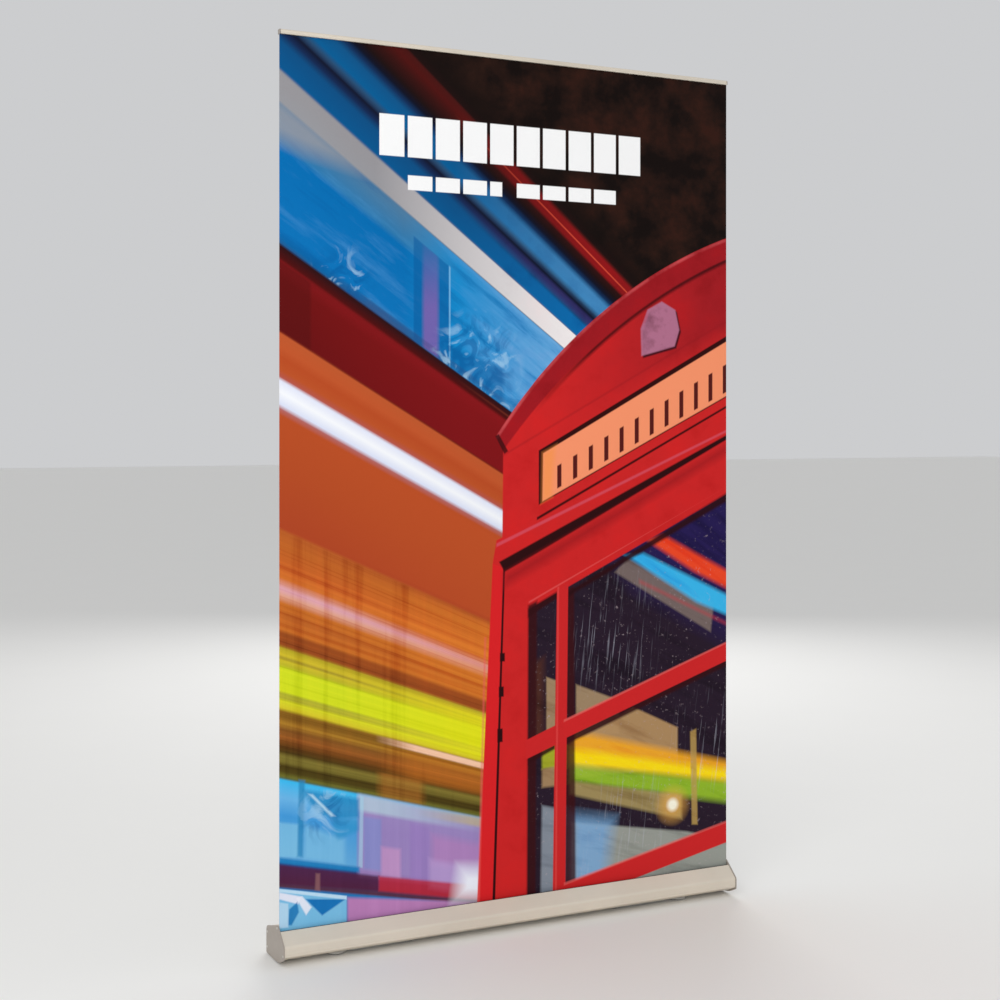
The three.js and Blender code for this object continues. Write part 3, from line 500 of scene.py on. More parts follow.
IN_FRONT = (
    (((734, 1276), (752, 1268), (757, 2010), (728, 2010)), 7, (58, 15, 20), 0.9),
    (((728, 1285, 1298), (1210, 1046, 1068)), 8, (44, 12, 18), 0.95),
    (((728, 1636, 1655), (1210, 1474, 1491)), 7, (52, 14, 20), 0.95),
    (((626, 1310), (650, 1300), (646, 2010), (622, 2010)), 7, (56, 15, 20), 0.9),
    (((626, 1318, 1338), (706, 1280, 1296)), 6, (50, 13, 18), 0.95),
    (((626, 1676, 1692), (700, 1650, 1662)), 6, (50, 13, 18), 0.95),
    (((705, 1276), (736, 1262), (728, 2010), (693, 2010)), 2.5, (204, 38, 40), 1),
    (((724, 1596, 1640), (1210, 1432, 1478)), 2.5, (206, 38, 40), 1),
    (((620, 1634, 1680), (708, 1602, 1650)), 2.5, (204, 38, 40), 1),
    (((724, 1994, 2048), (1210, 1894, 1946)), 2.5, (206, 38, 40), 1),
    (((724, 1593, 1599), (1210, 1429, 1434)), 3, (228, 96, 92), 0.7),
    (((724, 1990, 1997), (1210, 1890, 1896)), 3, (228, 96, 92), 0.6),
    (((706, 1270), (711, 1268), (704, 2010), (699, 2010)), 3, (224, 74, 72), 0.6),
    (((531, 1206), (559, 1216), (530, 2010), (490, 2010)), 3, (217, 34, 38), 1),
    (((509, 1380), (513, 1380), (496, 2010), (490, 2010)), 5, (232, 92, 88), 0.6),
    (((559, 1214), (564, 1214), (537, 2010), (530, 2010)), 2.5, (42, 10, 14), 1),
    (((550, 1420, 1440), (563, 1420, 1440)), 3, (42, 10, 14), 1),
    (((547, 1500, 1524), (560, 1500, 1524)), 3, (42, 10, 14), 1),
    (((543, 1600, 1632), (557, 1600, 1632)), 3, (42, 10, 14), 1),
    (((628, 1300), (706, 1264), (1210, 1028), (1210, 1032), (706, 1268), (628, 1305)), 3, (226, 92, 92), 0.6),
    (((548, 1202), (1210, 897), (1210, 922), (640, 1190), (563, 1228)), 4, (44, 11, 14), 1),
    (((562, 1232, 1262), (1210, 922, 944)), 26, (150, 24, 30), 0.7),
    (((541, 1158, 1166), (1210, 884, 890)), 4, (214, 92, 112), 0.55),
    (((650, 1098, 1105), (1210, 821, 827)), 3, (48, 10, 12), 0.95),
    (((655, 937, 1068), (1210, 642, 799)), 3, (48, 11, 12), 1),
    (((667, 944), (1210, 656), (1210, 796), (665, 1060)), 3, (250, 150, 108), 1),
    (((667, 944), (700, 928), (690, 1048), (665, 1060)), 16, (250, 150, 70), 0.6),
    (((560, 944, 950), (1210, 600, 606)), 4, (150, 24, 30), 0.35),
)
PANES = (
    (((0, 1762, 1839), (46, 1771, 1845)), 8, (134, 200, 230), 0.6),
    (((60, 1774), (156, 1818), (156, 1875), (58, 1850)), 14, (122, 190, 228), 0.7),
    (((46, 1671), (60, 1674), (55, 1845), (42, 1843)), 6, (40, 132, 184), 0.75),
    (((56, 1694), (191, 1730), (191, 1772), (136, 1769), (90, 1750), (59, 1709)), 10, (24, 132, 190), 0.8),
    (((127, 1766), (191, 1775), (191, 1801), (140, 1816), (127, 1798)), 12, (40, 146, 200), 0.6),
    (((70, 1706), (78, 1708), (132, 1762), (122, 1762)), 5, (190, 226, 244), 0.8),
    (((193, 1722), (202, 1725), (199, 1888), (189, 1885)), 3, (160, 206, 230), 0.6),
    (((0, 1840, 1853), (191, 1885, 1897)), 7, (16, 120, 184), 0.9),
    (((202, 1771, 1890), (245, 1782, 1901)), 8, (126, 140, 202), 0.7),
    (((245, 1845, 1912), (293, 1857, 1924)), 10, (200, 150, 198), 0.7),
    (((317, 1798, 1932), (366, 1815, 1944)), 8, (150, 120, 190), 0.5),
    (((373, 1833, 1900), (498, 1870, 1927)), 20, (184, 130, 188), 0.6),
    (((366, 1888, 1956), (491, 1926, 1995)), 14, (190, 160, 214), 0.6),
    (((0, 1856, 1899), (239, 1912, 1946)), 7, (80, 30, 60), 0.85),
    (((239, 1912, 1946), (495, 1967, 2002)), 7, (186, 40, 54), 0.85),
    (((86, 1886), (96, 1888), (96, 1927), (84, 1924)), 5, (150, 104, 104), 0.6),
    (((162, 1951), (498, 2007), (342, 2008), (162, 2006)), 8, (198, 128, 182), 0.85),
    (((447, 1921), (520, 1930), (520, 2000), (435, 1990)), 48, (240, 245, 255), 0.95),
    (((0, 1910, 2010), (160, 1947, 2010)), 3, (124, 194, 232), 0.9),
    (((62, 1941), (157, 1954), (101, 1983)), 4, (0, 108, 180), 0.95),
    (((0, 1910, 1917), (160, 1947, 1955)), 3, (196, 226, 245), 0.85),
    (((0, 1918), (52, 1934), (44, 1950), (0, 1933)), 4, (238, 236, 248), 0.85),
    (((40, 1936), (54, 1934), (76, 1961), (63, 1977)), 4, (236, 238, 250), 0.85),
    (((23, 1959), (42, 1945), (46, 1968), (29, 1995), (20, 1994)), 4, (16, 116, 180), 0.9),
    (((0, 1940, 1998), (21, 1946, 1999)), 4, (186, 218, 240), 0.8),
)
PALE_CORNER = ((-40, 120), (80, 196), (240, 330), (60, 260), (-60, 232))
DEEP_PANE = ((420, 690, 735), (560, 740, 830))

# Bands along the trails: (low, high, softness, across where it starts, across where it is full, strength,
# colour).
UPPER_GLEAMS = (
    (-254, -196, 14, 430, 800, 0.85, (150, 22, 26)), (-226, -220, 3, 430, 800, 1, (206, 74, 52)),
    (-114, -50, 22, 430, 800, 0.6, (84, 158, 214)), (-18, 14, 12, 430, 800, 0.6, (64, 52, 116)),
    (22, 78, 10, 430, 800, 0.6, (8, 122, 196)), (81, 152, 4, 230, 760, 1, (244, 238, 238)),
)
LOWER_GLEAMS = (
    (486, 492, 4, 430, 800, 0.8, (150, 66, 44)), (508, 662, 6, 80, 470, 0.5, (144, 22, 28)),
    (508, 664, 6, 78, 70, 0.4, (70, 14, 14)), (856, 1100, 16, 60, 560, 0.6, (192, 82, 40)),
    (1118, 1330, 20, 150, 560, 0.5, (226, 128, 42)), (1380, 1498, 16, 150, 480, 0.65, (234, 230, 22)),
    (1510, 1526, 5, 230, 330, 1, (246, 200, 168)), (1530, 1600, 14, 230, 330, 0.5, (196, 112, 36)),
)

# The kiosk: circles as (centre, radius), and the outlines of its front, head, rim and glass.
KIOSK_RED = (205, 37, 38)
FRONT = ((541, 1150), (1210, 880), (1210, 2010), (490, 2010), (531, 1202))
HEAD = ((559, 925), (900, 300), (1210, 300), (1210, 1000), (556, 1160))
HEAD_SHADE = ((640, 300), (1210, 300), (1210, 640), (700, 900))
RIM = ((541, 905), (566, 942), (1210, 942), (1210, 300), (541, 300))
RIM_END = ((538, 902), (547, 897), (572, 938), (562, 945))
GLASS = ((628, 1320), (1210, 1050), (1210, 2010), (624, 2010))
LAMP = (1037, 1834)
DOME = ((1675, 1699.5), 1387)
DOME_INNER = ((1822, 1936), 1611)
RIPPLES = (((150, 545), 60), ((485, 730), 105), ((590, 850), 40), ((110, 1750), 50))
SCRATCHES = (((860, 1390), 120, 0.45), ((900, 1900), 130, 0.4), ((1150, 1680), 90, 0.5))
HEADING = ((240, 946, 158, 254), (311, 556, 296, 330), (595, 875, 296, 330))
HEADING_PITCH = 71                     # the heading is a row of plain blocks
SIGN = ((705, 975, 1030), (1210, 714, 786))
SIGN_START, SIGN_PITCH = 705, 44       # and the sign a row of thin plain bars
BADGE = ((948, 640), (968, 592), (1010, 570), (1050, 590), (1062, 640), (1048, 682), (950, 708))
BADGE_BEVEL = 5


class Picture(Finish):
    """The print on the film, laid down back to front. at is (across, down, 1) in millimetres from the
    picture's top left corner, and seen is the colour so far. fan is constant along each trail of light:
    (down - slope * across) / (1 - closing * across)."""

    def __init__(self, name):
        super().__init__(name)
        height = FILM_HIGH[2] - FILM_LOW[2]
        tuck = FILM_HIGH[2] - RAIL_LOW[2] - PRINT_TOP
        where = self.node("UVMap", {"uv_map": "picture"})
        self.at = self.node("VectorMath", {"operation": "MULTIPLY_ADD"}, {
            "Vector": where, "Vector_001": (FILM_HIGH[0] - FILM_LOW[0], -height, 0),
            "Vector_002": (0, height - tuck, 1)})
        split = self.node("SeparateXYZ", {}, {"Vector": self.at})
        self.across, self.down = split, Wire(self, split.socket.node.outputs[1])
        self.fan = (self.down - self.across * FAN_SLOPE) / (1 - self.across * FAN_CLOSING)
        self.panes = self.within(self.fan, 156, 469, 4)
        broad = self.node("CombineXYZ", {}, {"X": self.fan / 90, "Y": self.across / 420})
        self.clouds = self.noise(broad, 1.3, 5.0, 0.62)
        self.swirl = self.noise(self.at, 0.011, 4.0, 0.6)
        self.seen = None

    def line(self, start, end, inside, soft):
        """A straight edge: the distance past it over its softness, 0.5 on the edge itself."""
        (x0, y0), (x1, y1) = start, end
        normal = np.array([y1 - y0, x0 - x1]) / math.hypot(x1 - x0, y1 - y0)
        level = normal @ (x0, y0)
        if normal @ inside < level:
            normal, level = -normal, -level
        return self.node("VectorMath", {"operation": "DOT_PRODUCT"}, {
            "Vector": self.at, "Vector_001": (*(normal / soft), 0.5 - level / soft)}, output=1)

    def shape(self, corners, soft):
        """1 inside a convex outline: the least of its edges' distances. An edge off the film is left out. Two
        upright sides, as (across, top, bottom), stand for four corners."""
        if len(corners) == 2:
            (left, *ends), (right, *far) = corners
            corners = ((left, ends[0]), (right, far[0]), (right, far[1]), (left, ends[1]))
        inside = np.mean(corners, 0)
        lines = [self.line(a, b, inside, soft) for a, b in zip(corners, corners[1:] + corners[:1])
                 if not (min(a[0], b[0]) > PAST_SIDE or max(a[1], b[1]) < 0 or min(a[1], b[1]) > PAST_FOOT)]
        least = lines[0]
        for line in lines[1:-1]:
            least = self.math("MINIMUM", least, line)
        return self.math("MINIMUM", least, lines[-1], clamp=True)

    def disc(self, centre, radius, soft):
        """1 inside a circle."""
        far = self.node("VectorMath", {"operation": "DISTANCE"}, {
            "Vector": self.at, "Vector_001": (*centre, 1)}, output=1)
        return self.math("MULTIPLY_ADD", far, -1 / soft, radius / soft + 0.5, clamp=True)

    def lay(self, mask, colour, how="MIX"):
        self.seen = self.mix(self.seen, tint(*colour), mask, how)

    def lay_all(self, shapes, share=1):
        for outline, soft, colour, strength in shapes:
            self.lay(self.shape(outline, soft) * (share * strength), colour)

    def within(self, value, low, high, soft):
        """1 where a value lies between low and high, with both edges that soft."""
        half = soft / 2
        return self.fade(value, low - half, low + half) * self.fade(value, high + half, high - half)

    def lay_gleams(self, gleams):
        for low, high, soft, start, full, strength, colour in gleams:
            share = self.fade(self.across, start, full) * strength
            self.lay(self.within(self.fan, low, high, soft) * share, colour)

    def trails(self):
        """The bands of light, each ramp laid over the one above it from its own start."""
        for stops in TRAILS:
            low, high = stops[0][0], stops[-1][0]
            places = [((at - low) / (high - low), tint(*rgb)) for at, *rgb in stops]
            band = self.ramp(self.fade(self.fan, low, high), places)
            if self.seen is None:
                self.seen = band
            else:
                self.seen = self.mix(self.seen, band, self.fade(self.fan, low, low + 1))

    def upper_left(self):
        """Dark red and navy lines, the pale beam, and the blue panes with what mirrors in them."""
        across, fan, panes, clouds = self.across, self.fan, self.panes, self.clouds
        self.lay_gleams(UPPER_GLEAMS)
        self.lay(panes * self.fade(across, 300, 440) * 0.9, (20, 140, 206))
        self.lay(panes * self.fade(across, 440, 700) * self.fade(clouds, 0.30, 0.62), (122, 180, 228))
        self.lay(panes * self.fade(clouds, 0.52, 0.70) * 0.4, (88, 158, 216))
        self.lay(panes * self.fade(clouds, 0.46, 0.30) * 0.5, (0, 78, 148))
        self.lay(self.shape(PALE_CORNER, 50) * 0.75, (150, 152, 158))
        strip = self.within(fan, 200, 468, 6)
        self.lay(strip * self.within(across, 326, 416, 4) * 0.65, (6, 92, 158))
        violet = self.within(across, 350, 388, 10) * self.fade(self.down, 440, 600) * 0.85
        self.lay(strip * violet, (122, 98, 172))
        self.lay(strip * self.within(across, 416, 420, 2) * 0.75, (126, 186, 226))
        self.lay(self.shape(DEEP_PANE, 12) * panes * 0.55, (2, 92, 158))
        self.lay(self.within(fan, 448, 470, 7) * self.fade(clouds, 0.4, 0.6) * 0.6, (52, 64, 110))
        self.lay(self.fade(fan, -290, -420) * self.fade(self.swirl, 0.4, 0.66) * 0.6, (58, 33, 24))

    def lower_left(self):
        """Orange, amber, yellow and olive trails over cyan, purple and red panes."""
        across, fan = self.across, self.fan
        self.lay_gleams(LOWER_GLEAMS)
        self.lay(self.within(fan, 1600, 1660, 6) * self.within(across, 240, 350, 24) * 0.55, (176, 112, 44))
        haze = self.fade(across, 182, 194)
        self.lay(haze * self.within(fan, 1668, 1862, 16) * 0.9, (158, 128, 186))
        self.lay(haze * self.within(fan, 1664, 1704, 12) * self.fade(across, 520, 260) * 0.9, (176, 196, 216))
        self.lay(self.within(fan, 1664, 1690, 10) * self.fade(across, 330, 470) * 0.8, (186, 172, 140))
        hang = self.node("CombineXYZ", {}, {"X": across / 40, "Y": self.down / 900})
        fine = self.node("CombineXYZ", {}, {"X": fan / 13, "Y": across / 1500})
        curtain = self.noise(hang, 1.0, 4.0, 0.6)
        streak = self.noise(fine, 1.0, 3.0, 0.6)
        blown = self.within(fan, 1108, 1660, 8) * self.fade(across, 560, 540)
        for grain, low, high, strength, colour in (
            (curtain, 0.52, 0.72, 0.5, (215, 196, 196)), (curtain, 0.48, 0.28, 0.6, (70, 40, 30)),
            (streak, 0.52, 0.75, 0.7, (225, 214, 204)), (streak, 0.48, 0.25, 0.7, (40, 28, 26)),
        ):
            self.lay(blown * self.fade(grain, low, high) * strength, colour, "SOFT_LIGHT")
        self.lay_all(PANES)
        sheen = self.fade(fan, 1660, 1668) * self.fade(curtain, 0.45, 0.7) * 0.5
        self.lay(sheen, (215, 210, 214), "SOFT_LIGHT")
        clear = self.panes + self.within(fan, 1668, 1850, 6) * (1 - haze)
        ripple = self.node("TexNoise", {}, {"Vector": self.at, "Scale": 0.016, "Detail": 3.0,
                                            "Distortion": 1.6})
        for centre, radius in RIPPLES:
            near = clear * self.disc(centre, radius, 60)
            self.lay(near * self.fade(ripple, 0.54, 0.64) * 0.55, (176, 216, 242))
            self.lay(near * self.fade(ripple, 0.48, 0.38) * 0.5, (0, 84, 152))

    def kiosk(self):
        """The kiosk's front and its domed head, whose rim is the ring between two circles."""
        across, swirl = self.across, self.swirl
        dome, inner = self.disc(*DOME, 3), self.disc(*DOME_INNER, 4)
        self.lay(self.shape(FRONT, 3), KIOSK_RED)
        self.lay(dome * self.shape(HEAD, 3), KIOSK_RED)
        shade = self.shape(HEAD_SHADE, 60) * self.fade(across, 700, 1150) * 0.8
        self.lay(dome * shade, (150, 25, 34))
        rim = dome * self.shape(RIM, 3)
        self.lay(rim * (1 - inner), (158, 25, 33))
        outside = 1 - self.disc(DOME[0], DOME[1] - 7, 5)
        self.lay(rim * outside * self.fade(swirl, 0.3, 0.6) * 0.8, (206, 84, 88))
        lining = inner * (1 - self.disc(DOME_INNER[0], DOME_INNER[1] - 9, 8))
        self.lay(rim * lining * self.fade(across, 640, 800) * 0.9, (70, 10, 16))
        self.lay(self.shape(RIM_END, 3) * 0.9, (60, 12, 16))
        worn = self.fade(across, 540, 570)
        self.lay(worn * self.fade(swirl, 0.50, 0.72) * 0.4, (226, 176, 172), "SOFT_LIGHT")
        self.lay(worn * self.fade(swirl, 0.48, 0.28) * 0.25, (56, 36, 40), "SOFT_LIGHT")

    def glazing(self):
        """The kiosk's glass: what shows in it, a lamp, dust, upright scratches, and the bars in front."""
        glass = self.shape(GLASS, 3)
        self.lay(glass, (40, 27, 42))
        self.lay_all(BEHIND_GLASS, glass)
        self.lay(self.disc(LAMP, 26, 60) * 0.8, (250, 186, 84))
        self.lay(self.disc(LAMP, 15, 12), (255, 251, 230))
        dust = self.noise(self.at, 0.09, 4.0, 0.7)
        dusty = self.fade(dust, 0.60, 0.70) * self.fade(self.swirl, 0.35, 0.6) * 0.5
        self.lay(glass * dusty, (190, 172, 178))
        self.lay(glass * self.fade(self.clouds, 0.5, 0.3) * 0.5, (30, 16, 34), "SOFT_LIGHT")
        upright = self.node("CombineXYZ", {}, {"X": self.across / 7 + self.down / 60, "Y": self.down / 170})
        scratch = self.fade(self.noise(upright, 1.0, 3.0, 0.6), 0.57, 0.72)
        for centre, radius, strength in SCRATCHES:
            self.lay(glass * scratch * self.disc(centre, radius, 120) * strength, (196, 198, 214))
        self.lay_all(IN_FRONT)

    def plain_signs(self):
        """The sign's bars, the badge with its bevel, and the heading's blocks."""
        beat = self.math("FRACT", (self.across - SIGN_START) / SIGN_PITCH)
        self.lay(self.shape(SIGN, 3) * self.within(beat, 0.0, 0.28, 0.06), (84, 26, 24))
        self.lay(self.shape(BADGE, 4), (70, 14, 26))
        raised = [(x - BADGE_BEVEL, y - BADGE_BEVEL) for x, y in BADGE]
        self.lay(self.shape(raised, 4) * self.fade(self.swirl, 0.2, 0.5), (178, 112, 140))
        beat = self.math("FRACT", (self.across - HEADING[0][0]) / HEADING_PITCH)
        for left, right, top, bottom in HEADING:
            block = self.shape(((left, top, bottom), (right, top, bottom)), 2)
            self.lay(block * self.within(beat, 0.0, 0.88, 0.02), (250, 250, 250))


def printed_picture(gloss):
    """The picture: trails of light that fan out from the left edge, and a glazed red kiosk with plain panels,
    under a laminate."""
    art = Picture("printed film")
    art.trails()
    art.upper_left()
    art.lower_left()
    art.kiosk()
    art.glazing()
    art.plain_signs()
    film = art.noise(art.place((900, 900, 900)), 1.0, 2.0)
    return art.surface({"Base Color": art.seen, "Roughness": film * 0.06 + (gloss - 0.03),
                        "Specular IOR Level": 0.05, "Normal": art.bump(film, 0.03, 0.1)})


def film_back(colour):
    """The grey light-stop coating on the back of the film: matt, with a fine roller grain and faint bands."""
    back = Finish("film back")
    grain = back.noise(back.place((700, 700, 700)), 1.0, 3.0, 0.6)
    bands = back.noise(back.place((3, 3, 14)), 1.0, 3.0)
    tone = back.mix(scaled(colour, 0.93), scaled(colour, 1.04), bands)
    return back.surface({"Base Color": tone, "Roughness": grain * 0.12 + 0.55,
                         "Normal": back.bump(grain, 0.08, 0.1)})


# ---------------------------------------------------------------- sizes and colours a user would change

def colour_of(name, what, red, green, blue):
    return FloatVectorProperty(name=name, description=what, subtype="COLOR", size=4, min=0, max=1,
                               default=tint(red, green, blue))


def length_of(name, what, millimetres):
    """A length in millimetres, shown in the scene's own units."""
    return FloatProperty(name=name, description=what, unit="LENGTH", default=millimetres * MM, min=0)


class BannerBase(PropertyGroup):
    metal: colour_of("Metal", "Matt anodised aluminium of the base and the rail", 224, 214, 198)
    caps: colour_of("End caps", "Paint of the end caps and of the rail's plugs", 160, 150, 140)
    cap_edge: length_of("Cap edge", "Radius of the end caps' outer edge", 1.3)


class BannerGraphic(PropertyGroup):
    back: colour_of("Back", "Light-stop coating on the back of the film", 196, 197, 196)
    gloss: FloatProperty(name="Laminate", description="Roughness of the laminate", default=0.46, min=0, max=1)
    wave: length_of("Wave", "How far the film waves out of its plane", 0.35)
    curl: length_of("Curl", "How far the film's side edges curl back", 0.6)


class BannerFittings(PropertyGroup):
    pole: colour_of("Pole", "Bright anodised aluminium of the pole and the roller", 206, 206, 204)
    plastic: colour_of("Plastic", "Socket, collars and hook", 34, 34, 36)
    nylon: colour_of("Nylon", "Washers, cams and roller plugs", 226, 222, 212)
    rubber: colour_of("Rubber", "Pads and grip strip", 30, 30, 31)
    feet: colour_of("Feet", "Powder coat of the swing feet", 178, 176, 170)
    grip_depth: length_of("Grip depth", "Depth of the flutes in the pole's collars", 0.9)


class BannerStage(PropertyGroup):
    floor: colour_of("Floor", "Plain pale floor", 244, 243, 240)
    sky: colour_of("Surroundings", "Soft light all round", 236, 237, 239)


# ---------------------------------------------------------------- operators, one for each group of pieces

class BANNER_OT_base(Operator):
    """Base shell, end caps, their screws and pads, and the brush and felt in the slot"""
    bl_idname = "banner.base"
    bl_label = "Base"

    def execute(self, context):
        sizes = context.scene.banner_base
        fittings = context.scene.banner_fittings
        metal = drawn_metal("base aluminium", tuple(sizes.metal), 0, 0.3)
        paint = moulded("cap paint", tuple(sizes.caps), 0.42, 1900.0, 0.10, 0.05)
        outer = rounded(SHELL_SECTION, 12, closed=False)
        inner = rounded(shifted(SHELL_SECTION, WALL_SHELL), 6, closed=False)
        wall = np.concatenate([outer, inner[::-1]]) + (PLANE, 0)
        socket_radius = reach("pole_lower")[1][0] + GAP + WALL_SOCKET
        holes = [(0, POLE_AXIS, socket_radius + GAP, True)]
        for side in SIDES:
            low, high = reach(f"foot_washer_{side}")
            middle = (low + high) / 2
            holes.append((middle[0], middle[1], BOLT_HOLE, False))
        wall = bored(wall, (-SHELL_END, -SHELL_END / 2, SHELL_END / 2, SHELL_END), holes)
        port = turned(tube(PORT_RADIUS, PORT_BORE, -SHELL_END, SHELL_END, (0.2, 0.2), 3), 24)[..., [2, 0, 1]]
        ports = []
        for number in range(1, 5):
            low, high = reach(f"cap_screw_left_{number}")
            middle = (low + high) / 2
            ports.append(skin(port + (0, middle[1], middle[2]), looped=True))
        piece("base_shell_skin", [wall, *ports], [metal], "root", "base_shell")

        for side in SIDES:
            eased_node(f"end_cap_{side}", paint, "root", sizes.cap_edge / MM)
        zinc = plated_steel("zinc screws")
        rubber = moulded("base rubber", tuple(fittings.rubber), 0.8, 1500.0, 0.3)
        for side in SIDES:
            for number in range(1, 5):
                eased_node(f"cap_screw_{side}_{number}", zinc, "root", 0.15)
            for where in ("front", "rear"):
                dress(f"base_pad_{side}_{where}", rubber)
        dress("slot_brush", pile("brush hair", tint(38, 37, 36), 1))
        dress("slot_felt", pile("felt", tint(46, 46, 47), 0))
        return {"FINISHED"}


class BANNER_OT_roller(Operator):
    """Finishes of the roller, its plugs, spring and leader inside the base"""
    bl_idname = "banner.roller"
    bl_label = "Roller"

    def execute(self, context):
        nylon = moulded("roller nylon", tuple(context.scene.banner_fittings.nylon), 0.5)
        metal = drawn_metal("roller aluminium", tuple(context.scene.banner_fittings.pole), 0, 0.85)
        steel = plated_steel("spring steel")
        for node, finish in (
            ("roller_tube", metal), ("graphic_leader_coil", film_back(tint(228, 228, 226))),
            ("roller_plug_left", nylon), ("roller_plug_right", nylon), ("spring_driver", nylon),
            ("spring_shaft", steel), ("idler_pin", steel), ("torsion_spring", steel),
        ):
            dress(node, finish)
        return {"FINISHED"}


class BANNER_OT_graphic(Operator):
    """The printed film between the roller and the top rail"""
    bl_idname = "banner.graphic"
    bl_label = "Graphic"

    def execute(self, context):
        sizes = context.scene.banner_graphic
        columns, rows = 81, 141
        x = np.linspace(FILM_LOW[0], FILM_HIGH[0], columns)
        z = np.linspace(FILM_LOW[2], FILM_HIGH[2], rows)
        across, up = np.meshgrid(x, z)
        # Out of the plane: wave * sin(across / length + up / drift) + curl * (across / half width) ** power,
        # both faded to nothing at the slot and at the rail.
        above_slot = np.clip((up - LIP - FILM_FREE) / FILM_FADE, 0, 1)
        free = above_slot * np.clip((RAIL_LOW[2] - FILM_HELD - up) / FILM_FADE, 0, 1)
        free = free * free * (3 - 2 * free)
        out = free * (sizes.wave / MM * np.sin(across / WAVE_LENGTH + up / WAVE_DRIFT)
                      + sizes.curl / MM * (across / FILM_HIGH[0]) ** CURL_POWER)
        front = np.stack([across, FILM_LOW[1] + out, up], -1)
        back = np.stack([across, FILM_HIGH[1] + out, up], -1)[:, ::-1]
        rings = np.concatenate([front, back], 1)
        back_finish = film_back(tuple(sizes.back))
        sheet = piece("graphic_film", [skin(rings)], [printed_picture(sizes.gloss), back_finish], "root",
                      "graphic_sheet")
        mesh = sheet.data
        step = np.arange((rows - 1) * 2 * columns) % (2 * columns)
        faces = np.concatenate([(step >= columns - 1).astype(np.int32), [1, 1]])
        mesh.polygons.foreach_set("material_index", faces.astype(np.int32))
        corners = np.empty(len(mesh.loops), np.int32)
        mesh.loops.foreach_get("vertex_index", corners)
        points = np.empty(len(mesh.vertices) * 3, np.float32)
        mesh.vertices.foreach_get("co", points)
        points = points.reshape(-1, 3)[corners] / MM
        share = np.stack([(points[:, 0] - FILM_LOW[0]) / (FILM_HIGH[0] - FILM_LOW[0]),
                          (points[:, 2] - FILM_LOW[2]) / (FILM_HIGH[2] - FILM_LOW[2])], -1)
        mesh.uv_layers.new(name="picture").data.foreach_set("uv", share.astype(np.float32).ravel())
        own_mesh(sheet)
        return {"FINISHED"}


class BANNER_OT_pole(Operator):
    """Socket, telescopic tubes with their lock collars and cams, and the hook"""
    bl_idname = "banner.pole"
    bl_label = "Pole"

    def execute(self, context):
        fittings = context.scene.banner_fittings
        metal = drawn_metal("pole aluminium", tuple(fittings.pole), 2, 0.85)
        plastic = moulded("black plastic", tuple(fittings.plastic), 0.45, 1600.0, 0.12)
        nylon = moulded("cam nylon", tuple(fittings.nylon), 0.5)
        here = np.array([0, POLE_AXIS, 0])
        for name, body in (("pole_lower", "root"), ("pole_mid", "pole_mid"), ("pole_upper", "pole_upper")):
            low, high = reach(name)
            radius = high[0]
            ring = tube(radius, radius - WALL_POLE, low[2], high[2], (0.4, 0.2), 4)
            piece(f"{name}_skin", [skin(turned(ring, 96) + here, looped=True)], [metal], body, name)
        for name, below, inside in (("lower_lock_collar", "pole_lower", "pole_mid"),
                                   ("upper_lock_collar", "pole_mid", "pole_upper")):
            low, high = reach(name)
            shoulder = reach(below)[1][2] + GAP
            bore, throat = reach(below)[1][0] + GAP, reach(inside)[1][0] + GAP
            bottom, top, radius = low[2], high[2], bore + WALL_COLLAR
            section = (
                (bore, bottom, 0.3), (radius - 0.4, bottom, 0.8), (radius, bottom + COLLAR_FOOT, 0.6),
                (radius, top - COLLAR_TAPER, 2.0), (radius - 2.6, top, 1.2), (throat, top, 0.5),
                (throat, shoulder, 0.2), (bore, shoulder, 0.2),
            )
            ring = rounded(section, 6)
            wall = turned(dense(ring, 1.2), 240, grips=10, depth=fittings.grip_depth / MM,
                          span=(bottom + COLLAR_FOOT + 0.5, top - COLLAR_TAPER - 1))
            piece(f"{name}_skin", [skin(wall + here, looped=True)], [plastic], name, name)
        for node, finish, body, slot in (
            ("pole_socket", plastic, "root", "black_plastic"),
            ("pole_foot_plug", plastic, "root", "black_plastic"),
            ("pole_hook", plastic, "pole_upper", "black_plastic"),
            ("pole_mid_cam", nylon, "pole_mid", "nylon"),
            ("pole_upper_cam", nylon, "pole_upper", "nylon"),
        ):
            eased_node(node, finish, body)
        return {"FINISHED"}


class BANNER_OT_rail(Operator):
    """Top rail with its front jaw, grip strip and end plugs"""
    bl_idname = "banner.rail"
    bl_label = "Top rail"

    def execute(self, context):
        sizes = context.scene.banner_base
        metal = drawn_metal("rail aluminium", tuple(sizes.metal), 0, 0.3)
        paint = moulded("plug paint", tuple(sizes.caps), 0.42, 1900.0, 0.10, 0.05)
        eased_node("rail_body", metal, "pole_upper", 0.15)
        eased_node("rail_jaw", metal, "rail_jaw", 0.1)
        for side in SIDES:
            eased_node(f"rail_plug_{side}", paint, "pole_upper", 0.3)
        dress("rail_grip_strip", moulded("grip rubber", tuple(context.scene.banner_fittings.rubber), 0.8))
        return {"FINISHED"}


